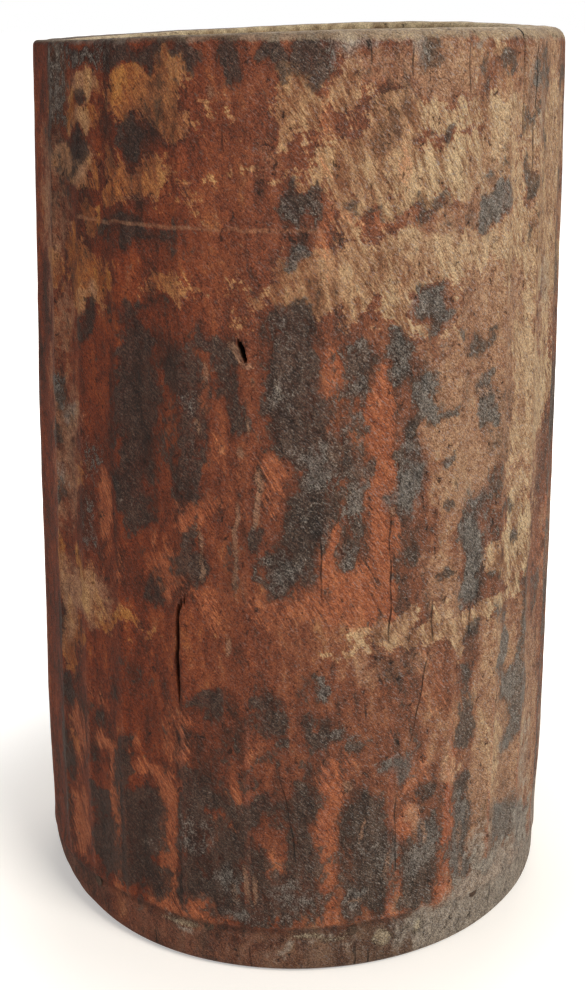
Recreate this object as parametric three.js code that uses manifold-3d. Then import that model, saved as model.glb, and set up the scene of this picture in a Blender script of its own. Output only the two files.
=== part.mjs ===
import * as THREE from 'three';
import { mergeVertices } from 'three/addons/utils/BufferGeometryUtils.js';
import Module from 'manifold-3d';

// A wooden butter pot: a hollowed trunk section with upright gouge flutes, a plain foot band and a
// slanting rim, closed below by a base board that is pegged through the foot and sealed with wax.
// Lengths are millimetres and angles are degrees. +Z is up, the pot stands on Z = 0 with its front
// facing -Y, and angles count from the front towards +X.

// Overall form of the trunk section
const potHeight = 420;
const rimRadius = 121;
const widestRadius = 131;
const widestHeight = 65;
const footRadius = 129.5;
// 1 would be a straight cone from the widest place to the rim
const barrelCurve = 1.15;
// How far the axis drifts towards +X between the foot and the rim
const lean = 1.9;

// Hollow
const wallAtRim = 18;
const wallAtFoot = 26;

// Rim: it climbs towards +X, dips at both sides and has a hump at the back right
const rimClimb = 2.9;
const rimSideDip = 1;
const rimHump = 1.4;
const rimHumpAngle = 150;
const rimHumpSpread = 35;
const rimOuterRound = 5;
const rimInnerRound = 3;

// Foot band, cut plain below the flutes with a wavering top edge
const bandHeight = 22;
const bandWaver = 2.2;
const bandLip = 2.4;
const footRound = 5;

// Flutes: each is a shallow hollow between two upright arrises, placed as the gouge left them
const arrisAngles = [
  -72, -60, -49, -38, -23, -9.5, 5.5, 19.5, 33, 45.5, 57, 69, 82, 96,
  110, 123, 137, 151, 165, 179, 193, 206, 220, 233, 247, 261, 275,
];
const fluteDepth = 2;
const fluteUnevenness = 0.25;
const fluteRunOut = 16;
// Share of the depth that handling has rubbed away at the rim, from this height upwards
const rimWear = 0.4;
const wearStart = 290;

// Base board and the rebate that it is let into
const baseThickness = 32;
const baseRecess = 6;
const baseChamfer = 2;
const baseDish = 2.5;
const rebateShoulder = 5.5;
const rebateChamfer = 1.5;
const fitClearance = 0.35;

// Pegs through the foot band into the edge of the base board
const pegCount = 12;
const pegFirstAngle = 12;
const pegHeadDiameter = 5.6;
const pegTipDiameter = 4.6;
const pegGrip = 24;
const pegHeadRecess = 0.6;
const pegEndRound = 0.7;
const pegClearance = 0.3;
const pegTipRoom = 1;

// Wax bead in the inner corner over the joint
const sealWidth = 9;
const sealRise = 10;
const sealHollow = 2;

// Long drying crack at the left of the front
const dryingCrackAngle = -23.6;
const dryingCrackFoot = 135;
const dryingCrackLength = 52;
const dryingCrackWidth = 1.8;
const dryingCrackDepth = 9;

// Crack that opens at the rim and runs down from it, at the right of the front
const rimCrackAngle = 50.8;
const rimCrackLength = 48;
const rimCrackWidth = 1.3;
const rimCrackDepth = 8;

// Knot that has fallen out and left a slanting slit
const knotAngle = -10.5;
const knotFoot = 292;
const knotLength = 10;
const knotWidth = 3;
const knotDepth = 11;
const knotTilt = 22;

// Fineness of the faceted surfaces
const columnsPerFlute = 5;
const wallSteps = 7;
const boreSteps = 3;
const runOutSteps = 4;
const arcSteps = 3;
const roundSegments = 96;
const pegSegments = 12;

const radians = THREE.MathUtils.degToRad;
const clamp = THREE.MathUtils.clamp;
const lerp = THREE.MathUtils.lerp;

const boreRadiusAtRim = rimRadius - wallAtRim;
const boreRadiusAtFoot = footRadius - wallAtFoot;
const baseTop = baseRecess + baseThickness;
const shoulderHeight = baseTop + fitClearance;
const rebateRadius = boreRadiusAtFoot + rebateShoulder;
const baseRadius = rebateRadius - fitClearance;
const pegHeight = baseRecess + baseThickness / 2;

function boreRadius(height) {
  return lerp(boreRadiusAtFoot, boreRadiusAtRim, height / potHeight);
}

// Radius of the trunk over its arrises: a barrel curve that is fullest at widestHeight
function trunkRadius(height) {
  if (height < widestHeight) {
    const below = (widestHeight - height) / widestHeight;
    return lerp(widestRadius, footRadius, below * below);
  }
  const above = (height - widestHeight) / (potHeight - widestHeight);
  return lerp(widestRadius, rimRadius, above ** barrelCurve);
}

function rimHeight(angle) {
  const climb = rimClimb * Math.sin(radians(angle));
  const dip = rimSideDip * Math.cos(2 * radians(angle));
  const offHump = (THREE.MathUtils.euclideanModulo(angle - rimHumpAngle + 180, 360) - 180) / rimHumpSpread;
  return potHeight + climb + dip + rimHump * Math.exp(-offHump * offHump);
}

function bandTop(angle) {
  const slow = Math.sin(radians(2 * angle + 100));
  const quick = 0.5 * Math.sin(radians(5 * angle - 30));
  return bandHeight + bandWaver * (slow + quick);
}

function axisDrift(height) {
  return lean * Math.max(0, height - baseTop) / (potHeight - baseTop);
}

function onPot(angle, radius, height) {
  const turn = radians(angle);
  return [radius * Math.sin(turn) + axisDrift(height), -radius * Math.cos(turn), height];
}

// How deep a flute lies under the arrises: hollow across its width, with a rounded lower end
function fluteHollow(column, height) {
  const depth = fluteDepth * (1 + fluteUnevenness * Math.sin(2.4 * column.flute));
  const run = clamp((height - bandTop(column.angle) - bandLip) / fluteRunOut, 0, 1);
  const worn = rimWear * clamp((height - wearStart) / (potHeight - wearStart), 0, 1);
  const section = 4 * column.across * (1 - column.across);
  return depth * section * Math.sin(run * Math.PI / 2) * (1 - worn);
}

function fluteColumns() {
  const columns = [];
  arrisAngles.forEach((start, flute) => {
    const end = arrisAngles[flute + 1] ?? arrisAngles[0] + 360;
    for (let step = 0; step < columnsPerFlute; step++) {
      const across = step / columnsPerFlute;
      columns.push({ angle: lerp(start, end, across), across, flute });
    }
  });
  return columns;
}

// Section of the trunk wall at one column, as [radius, height] points: up the outside from the
// floor, over the rim, down the bore and back to the floor through the rebate
function wallSection(column) {
  const section = [];
  const lip = bandTop(column.angle);
  const runOutTop = lip + bandLip + fluteRunOut;
  const rim = rimHeight(column.angle);
  const outer = (height) => trunkRadius(height) - fluteHollow(column, height);
  for (let step = 0; step <= arcSteps; step++) {
    const turn = (step / arcSteps) * Math.PI / 2;
    section.push([footRadius - footRound * (1 - Math.sin(turn)), footRound * (1 - Math.cos(turn))]);
  }
  section.push([footRadius, lip]);
  for (let step = 0; step <= runOutSteps; step++) {
    const height = lip + bandLip + fluteRunOut * step / runOutSteps;
    section.push([outer(height), height]);
  }
  const shoulder = rim - rimOuterRound;
  for (let step = 1; step < wallSteps; step++) {
    const height = lerp(runOutTop, shoulder, step / wallSteps);
    section.push([outer(height), height]);
  }
  for (let step = 0; step <= arcSteps; step++) {
    const turn = (step / arcSteps) * Math.PI / 2;
    const height = shoulder + rimOuterRound * Math.sin(turn);
    section.push([outer(shoulder) - rimOuterRound * (1 - Math.cos(turn)), height]);
  }
  const mouth = boreRadius(rim);
  for (let step = 0; step <= arcSteps; step++) {
    const turn = (step / arcSteps) * Math.PI / 2;
    const height = rim - rimInnerRound * (1 - Math.cos(turn));
    section.push([mouth + rimInnerRound * (1 - Math.sin(turn)), height]);
  }
  for (let step = 1; step <= boreSteps; step++) {
    const height = lerp(rim - rimInnerRound, shoulderHeight, step / boreSteps);
    section.push([boreRadius(height), height]);
  }
  section.push([rebateRadius, shoulderHeight]);
  section.push([rebateRadius, rebateChamfer]);
  section.push([rebateRadius + rebateChamfer, 0]);
  return section;
}

// Joins the closed sections of all columns into one ring-shaped surface
function trunkGeometry() {
  const columns = fluteColumns();
  const positions = [];
  let points = 0;
  for (const column of columns) {
    const section = wallSection(column);
    points = section.length;
    for (const [radius, height] of section) {
      positions.push(...onPot(column.angle, radius, height));
    }
  }
  const index = [];
  for (let i = 0; i < columns.length; i++) {
    const here = i * points;
    const next = ((i + 1) % columns.length) * points;
    for (let j = 0; j < points; j++) {
      const up = (j + 1) % points;
      index.push(here + j, next + j, next + up);
      index.push(here + j, next + up, here + up);
    }
  }
  const geometry = new THREE.BufferGeometry();
  geometry.setAttribute('position', new THREE.Float32BufferAttribute(positions, 3));
  geometry.setIndex(index);
  return geometry;
}

const wasm = await Module();
wasm.setup();

function toSolid(geometry) {
  const bare = geometry.clone();
  bare.deleteAttribute('normal');
  bare.deleteAttribute('uv');
  const merged = mergeVertices(bare, 1e-4);
  return new wasm.Manifold(new wasm.Mesh({
    numProp: 3,
    vertProperties: new Float32Array(merged.attributes.position.array),
    triVerts: new Uint32Array(merged.index.array),
  }));
}

function toGeometry(solid) {
  const mesh = solid.getMesh();
  const geometry = new THREE.BufferGeometry();
  geometry.setAttribute('position', new THREE.Float32BufferAttribute(mesh.vertProperties, 3));
  geometry.setIndex(Array.from(mesh.triVerts));
  return geometry;
}

// A tapered round bore that runs radially from the inner to the outer radius
function pegHole(angle, inner, outer, pegInner, pegOuter) {
  const slope = (pegHeadDiameter - pegTipDiameter) / 2 / (pegOuter - pegInner);
  const boreAt = (radius) => pegTipDiameter / 2 + slope * (radius - pegInner) + pegClearance;
  const geometry = new THREE.CylinderGeometry(
    boreAt(outer), boreAt(inner), outer - inner, pegSegments,
  );
  geometry.rotateX(Math.PI);
  geometry.translate(0, -(inner + outer) / 2, pegHeight);
  geometry.rotateZ(radians(angle));
  return toSolid(geometry);
}

// A crack or slit: a spindle on the surface that narrows as it goes into the wood
function spindleCut(angle, foot, length, width, depth, tilt) {
  const reach = fluteDepth + rimOuterRound;
  const narrowing = 0.7;
  const outline = new THREE.Shape();
  outline.moveTo(0, -length / 2);
  outline.quadraticCurveTo(width, 0, 0, length / 2);
  outline.quadraticCurveTo(-width, 0, 0, -length / 2);
  const cut = depth + reach;
  const geometry = new THREE.ExtrudeGeometry(outline, {
    depth: cut, bevelEnabled: false, steps: 1, curveSegments: 5,
  });
  const position = geometry.attributes.position;
  for (let i = 0; i < position.count; i++) {
    const inward = 1 - position.getZ(i) / cut;
    position.setX(i, position.getX(i) * (1 - narrowing * inward));
  }
  const middle = foot + length / 2;
  geometry.rotateZ(radians(tilt));
  geometry.rotateX(Math.PI / 2);
  geometry.translate(0, -(trunkRadius(Math.min(middle, potHeight)) - depth), middle);
  geometry.rotateZ(radians(angle));
  return toSolid(geometry);
}

const pegOuterRadius = footRadius - pegHeadRecess;
const pegInnerRadius = baseRadius - pegGrip;
const pegAngles = Array.from({ length: pegCount }, (_, i) => pegFirstAngle + i * 360 / pegCount);

function potBodySolid() {
  let body = toSolid(trunkGeometry());
  const throughFrom = rebateRadius - rebateShoulder / 2;
  const throughTo = footRadius + fluteDepth;
  for (const angle of pegAngles) {
    body = body.subtract(pegHole(angle, throughFrom, throughTo, pegInnerRadius, pegOuterRadius));
  }
  body = body.subtract(spindleCut(
    dryingCrackAngle, dryingCrackFoot, dryingCrackLength, dryingCrackWidth, dryingCrackDepth, 0,
  ));
  body = body.subtract(spindleCut(
    rimCrackAngle, rimHeight(rimCrackAngle) - rimCrackLength, 2 * rimCrackLength,
    rimCrackWidth, rimCrackDepth, 0,
  ));
  body = body.subtract(spindleCut(
    knotAngle, knotFoot, knotLength, knotWidth, knotDepth, knotTilt,
  ));
  return body;
}

function baseDiscSolid() {
  const profile = [
    new THREE.Vector2(0, baseRecess),
    new THREE.Vector2(baseRadius - baseChamfer, baseRecess),
    new THREE.Vector2(baseRadius, baseRecess + baseChamfer),
    new THREE.Vector2(baseRadius, baseTop),
    new THREE.Vector2(boreRadiusAtFoot - sealWidth, baseTop),
    new THREE.Vector2(boreRadiusAtFoot / 2, baseTop - baseDish * 0.75),
    new THREE.Vector2(0, baseTop - baseDish),
  ];
  const geometry = new THREE.LatheGeometry(profile, roundSegments);
  geometry.rotateX(Math.PI / 2);
  let disc = toSolid(geometry);
  const holeFrom = pegInnerRadius - pegTipRoom;
  const holeTo = rebateRadius + fitClearance;
  for (const angle of pegAngles) {
    disc = disc.subtract(pegHole(angle, holeFrom, holeTo, pegInnerRadius, pegOuterRadius));
  }
  return disc;
}

function sealGeometry() {
  const wall = boreRadius(baseTop + sealRise) - fitClearance;
  const floor = baseTop + fitClearance;
  const profile = [
    new THREE.Vector2(wall, floor),
    new THREE.Vector2(wall, floor + sealRise),
  ];
  const curveSteps = 4;
  for (let step = 1; step < curveSteps; step++) {
    const along = step / curveSteps;
    const inward = sealHollow * Math.sin(along * Math.PI) * Math.SQRT1_2;
    profile.push(new THREE.Vector2(
      wall - sealWidth * along + inward,
      floor + sealRise * (1 - along) - inward,
    ));
  }
  profile.push(new THREE.Vector2(wall - sealWidth, floor));
  profile.push(profile[0].clone());
  const geometry = new THREE.LatheGeometry(profile, roundSegments);
  geometry.rotateX(Math.PI / 2);
  return geometry;
}

function pegGeometry() {
  const length = pegOuterRadius - pegInnerRadius;
  const profile = [
    new THREE.Vector2(0, 0),
    new THREE.Vector2(pegTipDiameter / 2 - pegEndRound, 0),
    new THREE.Vector2(pegTipDiameter / 2, pegEndRound),
    new THREE.Vector2(pegHeadDiameter / 2, length - pegEndRound),
    new THREE.Vector2(pegHeadDiameter / 2 - pegEndRound, length),
    new THREE.Vector2(0, length),
  ];
  const geometry = new THREE.LatheGeometry(profile, pegSegments);
  geometry.rotateX(Math.PI);
  geometry.translate(0, -pegInnerRadius, 0);
  return geometry;
}

const trunkWood = new THREE.MeshStandardMaterial({ color: 0x8a4a35, roughness: 0.62, metalness: 0 });
const boardWood = new THREE.MeshStandardMaterial({ color: 0x6b5040, roughness: 0.8, metalness: 0 });
const pegWood = new THREE.MeshStandardMaterial({ color: 0x4c382c, roughness: 0.75, metalness: 0 });
const waxFinish = new THREE.MeshStandardMaterial({ color: 0x5a4424, roughness: 0.5, metalness: 0 });

const butterPot = new THREE.Group();

function addPiece(name, geometry, material) {
  geometry.computeVertexNormals();
  const mesh = new THREE.Mesh(geometry, material.clone());
  mesh.name = name;
  butterPot.add(mesh);
  return mesh;
}

addPiece('pot_body', toGeometry(potBodySolid()), trunkWood);
addPiece('base_disc', toGeometry(baseDiscSolid()), boardWood);
addPiece('wax_seal', sealGeometry(), waxFinish);
pegAngles.forEach((angle, i) => {
  const peg = addPiece(`base_peg_${String(i + 1).padStart(2, '0')}`, pegGeometry(), pegWood);
  peg.position.z = pegHeight;
  peg.rotation.z = radians(angle);
});

export default butterPot;
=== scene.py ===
# A hollowed-trunk butter pot: red-brown ochred hardwood with gouge flutes, greasy black patina in
# the hollows, bare fibrous bands where a harness rubbed, and a pegged and waxed base board.
# The form and its marks are worked out in millimetres, and so is every name that ends in _MM. Finished
# meshes, nodes, lamps and the camera are in metres. Angles are degrees from the front (-Y) towards +X.
import math
import random
import bpy
import numpy as np
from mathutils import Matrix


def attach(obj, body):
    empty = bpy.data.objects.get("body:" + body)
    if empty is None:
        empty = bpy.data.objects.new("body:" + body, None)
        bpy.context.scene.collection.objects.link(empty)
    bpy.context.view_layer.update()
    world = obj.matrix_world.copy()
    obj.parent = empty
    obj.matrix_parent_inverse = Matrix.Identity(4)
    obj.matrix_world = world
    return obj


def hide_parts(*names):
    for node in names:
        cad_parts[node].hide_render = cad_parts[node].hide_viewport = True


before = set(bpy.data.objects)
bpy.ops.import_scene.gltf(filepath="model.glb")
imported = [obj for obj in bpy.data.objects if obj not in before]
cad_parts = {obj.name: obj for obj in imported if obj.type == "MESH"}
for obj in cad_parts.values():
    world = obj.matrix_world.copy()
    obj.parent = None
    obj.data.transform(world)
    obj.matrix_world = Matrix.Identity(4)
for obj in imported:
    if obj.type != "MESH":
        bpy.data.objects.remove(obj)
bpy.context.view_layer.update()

MM = 0.001

# Camera of the photograph: its focal length in the photograph's pixels, its place in metres and
# how far it looks down in degrees
PHOTO_HEIGHT_PX = 990
FOCAL_LENGTH_PX = 1428.4
SENSOR_HEIGHT_MM = 36.0
CAMERA_DISTANCE = 0.693
CAMERA_HEIGHT = 0.4281
CAMERA_SIDE = -0.0007
CAMERA_PITCH = 18.71

# Form of the trunk, as in the construction but for a fuller middle, a worn rim and a foot that
# dragging has rounded at the left
POT_HEIGHT_MM = 419.7
RIM_RADIUS_MM = 121.5
WIDEST_RADIUS_MM = 130.8
WIDEST_HEIGHT_MM = 65.0
FOOT_RADIUS_MM = 129.5
BARREL_CURVE = 1.45
LEAN_MM = 1.9
WALL_AT_RIM_MM = 18.0
WALL_AT_FOOT_MM = 26.0
RIM_CLIMB_MM = 2.9
RIM_SIDE_DIP_MM = 1.0
RIM_HUMP_MM = 1.4
RIM_HUMP_ANGLE = 150.0
RIM_HUMP_SPREAD = 35.0
RIM_OUTER_ROUND_MM = 4.6
RIM_ROUND_SWING_MM = 2.2
RIM_INNER_ROUND_MM = 3.0
BAND_HEIGHT_MM = 22.0
BAND_WAVER_MM = 2.2
BAND_LIP_MM = 2.4
FOOT_ROUND_MM = 5.0
FOOT_WEAR_MM = 11.0
FOOT_WEAR_ANGLE = -72.0
FOOT_WEAR_SPREAD = 26.0
FLUTE_DEPTH_MM = 2.0
FLUTE_UNEVENNESS = 0.25
FLUTE_RUN_OUT_MM = 16.0
RIM_WEAR = 0.4
WEAR_START_MM = 290.0
ARRIS_ANGLES = [
    -72, -60, -49, -38, -23, -9.5, 5.5, 19.5, 33, 45.5, 57, 69, 82, 96,
    110, 123, 137, 151, 165, 179, 193, 206, 220, 233, 247, 261, 275,
]

# Base board, pegs and wax bead
BASE_TOP_MM = 38.0
BASE_RECESS_MM = 6.0
FIT_MM = 0.35
REBATE_SHOULDER_MM = 5.5
REBATE_RADIUS_MM = FOOT_RADIUS_MM - WALL_AT_FOOT_MM + REBATE_SHOULDER_MM
REBATE_CHAMFER_MM = 1.5
BASE_CHAMFER_MM = 2.0
BASE_DISH_MM = 2.5
ADZE_ROW_MM = 24.0
ADZE_STROKE_MM = 31.0
ADZE_DEPTH_MM = 1.1
ADZE_STAGGER = 0.37
ADZE_FADE_MM = 8.0
SEAL_WIDTH_MM = 9.0
SEAL_RISE_MM = 10.0
SEAL_HOLLOW_MM = 2.0
SEAL_FULLNESS = 0.9
PEG_COUNT = 12
PEG_FIRST_ANGLE = 12.0
PEG_HEIGHT_MM = 22.0
PEG_HEAD_MM = 5.6
PEG_TIP_MM = 4.6
PEG_GRIP_MM = 24.0
PEG_PROUD_MM = 0.3
PEG_INNER_END_MM = REBATE_RADIUS_MM - FIT_MM - PEG_GRIP_MM
PEG_OUTER_END_MM = FOOT_RADIUS_MM + PEG_PROUD_MM
PEG_WHITTLING = 0.12

# Unevenness that hand tools left on the trunk: soft dents and short gouge ripples. The last three
# say where it stays away: at the foot, in and just above the rebate, and mostly in the openings.
DENT_SIZE_MM = 45.0
DENT_DEPTH_MM = 1.6
RIPPLE_SIZE_MM = 9.0
RIPPLE_DEPTH_MM = 0.55
STILL_FOOT_MM = 6.0
STILL_REBATE_MM = 60.0
STILL_IN_OPENINGS = 0.7

# Fineness of the meshes: where the fine front ends, degrees between columns, and numbers of rows
FRONT_EDGE_ANGLE = 84
FRONT_STEP = 0.6
BACK_STEP = 1.4
CUT_STEP = 0.17
BOARD_STEP = 2.25
WAX_STEP = 1.5
FOOT_ROUND_ROWS = 4
FOOT_BAND_ROWS = 6
WALL_ROWS = 152
RIM_ROUND_ROWS = 5
RIM_FACE_ROWS = 4
MOUTH_ROWS = 3
BORE_ROWS = 16
BOARD_RINGS = 28
BOARD_FIRST_RING_MM = 4.0
WAX_ROWS = 10


def linear(hex_colour):
    """An sRGB hex colour as the linear colour that a shader socket takes."""
    channels = [int(hex_colour[i:i + 2], 16) / 255 for i in (1, 3, 5)]
    curved = [c / 12.92 if c <= 0.04045 else ((c + 0.055) / 1.055) ** 2.4 for c in channels]
    return (*curved, 1.0)


def ease(low, high, values):
    """A smooth step from 0 at low to 1 at high."""
    t = np.clip((values - low) / (high - low), 0, 1)
    return t * t * (3 - 2 * t)


def turn_between(angles, centre):
    """Signed turn in degrees from centre to each angle, from -180 to 180."""
    return (angles - centre + 180) % 360 - 180


# The trunk's form


def trunk_radius(height):
    """Radius over the arrises: fullest a little above the foot, and drawn in towards the rim."""
    below = np.clip((WIDEST_HEIGHT_MM - height) / WIDEST_HEIGHT_MM, 0, 1)
    above = np.clip((height - WIDEST_HEIGHT_MM) / (POT_HEIGHT_MM - WIDEST_HEIGHT_MM), 0, 2)
    low = WIDEST_RADIUS_MM + (FOOT_RADIUS_MM - WIDEST_RADIUS_MM) * below ** 2
    high = WIDEST_RADIUS_MM + (RIM_RADIUS_MM - WIDEST_RADIUS_MM) * above ** BARREL_CURVE
    return np.where(height < WIDEST_HEIGHT_MM, low, high)


def bore_radius(height):
    """Radius of the hollow, from what the wall leaves at foot and rim."""
    at_foot = FOOT_RADIUS_MM - WALL_AT_FOOT_MM
    at_rim = RIM_RADIUS_MM - WALL_AT_RIM_MM
    return at_foot + (at_rim - at_foot) * height / POT_HEIGHT_MM


def rim_height(angle):
    """The rim's height, which climbs to the right, dips at both sides and humps at the back."""
    climb = RIM_CLIMB_MM * np.sin(np.radians(angle))
    dip = RIM_SIDE_DIP_MM * np.cos(2 * np.radians(angle))
    off_hump = turn_between(angle, RIM_HUMP_ANGLE) / RIM_HUMP_SPREAD
    return POT_HEIGHT_MM + climb + dip + RIM_HUMP_MM * np.exp(-off_hump ** 2)


def rim_round(angle):
    """The rim's outer rounding, which handling has worn wider on the right than on the left."""
    return RIM_OUTER_ROUND_MM + RIM_ROUND_SWING_MM * np.sin(np.radians(angle))


def foot_round(angle):
    """The foot's rounding, which dragging has worn much wider on the left."""
    off_wear = turn_between(angle, FOOT_WEAR_ANGLE) / FOOT_WEAR_SPREAD
    return FOOT_ROUND_MM + FOOT_WEAR_MM * np.exp(-off_wear ** 2)


def band_top(angle):
    """Height of the foot band's wavering top edge."""
    slow = np.sin(np.radians(2 * angle + 100))
    quick = 0.5 * np.sin(np.radians(5 * angle - 30))
    return BAND_HEIGHT_MM + BAND_WAVER_MM * (slow + quick)


def flute_place(angle):
    """Which flute an angle lies in, and how far across it, from 0 at one arris to 1 at the next."""
    starts = np.array(ARRIS_ANGLES, float)
    ends = np.append(starts[1:], starts[0] + 360)
    turned = starts[0] + (angle - starts[0]) % 360
    flute = np.clip(np.searchsorted(starts, turned, side="right") - 1, 0, len(starts) - 1)
    across = (turned - starts[flute]) / (ends[flute] - starts[flute])
    return flute, across


def flute_section(angle):
    """Hollowness across the flutes: 0 on an arris and 1 in the middle of a flute."""
    _, across = flute_place(angle)
    return 4 * across * (1 - across)


def flute_hollow(angle, height):
    """Depth of the flutes, which differ a little, run out above the foot band and are partly worn
    away towards the rim."""
    flute, _ = flute_place(angle)
    depth = FLUTE_DEPTH_MM * (1 + FLUTE_UNEVENNESS * np.sin(2.4 * flute))
    run = np.clip((height - band_top(angle) - BAND_LIP_MM) / FLUTE_RUN_OUT_MM, 0, 1)
    worn = RIM_WEAR * np.clip((height - WEAR_START_MM) / (POT_HEIGHT_MM - WEAR_START_MM), 0, 1)
    return depth * flute_section(angle) * np.sin(run * np.pi / 2) * (1 - worn)
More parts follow.
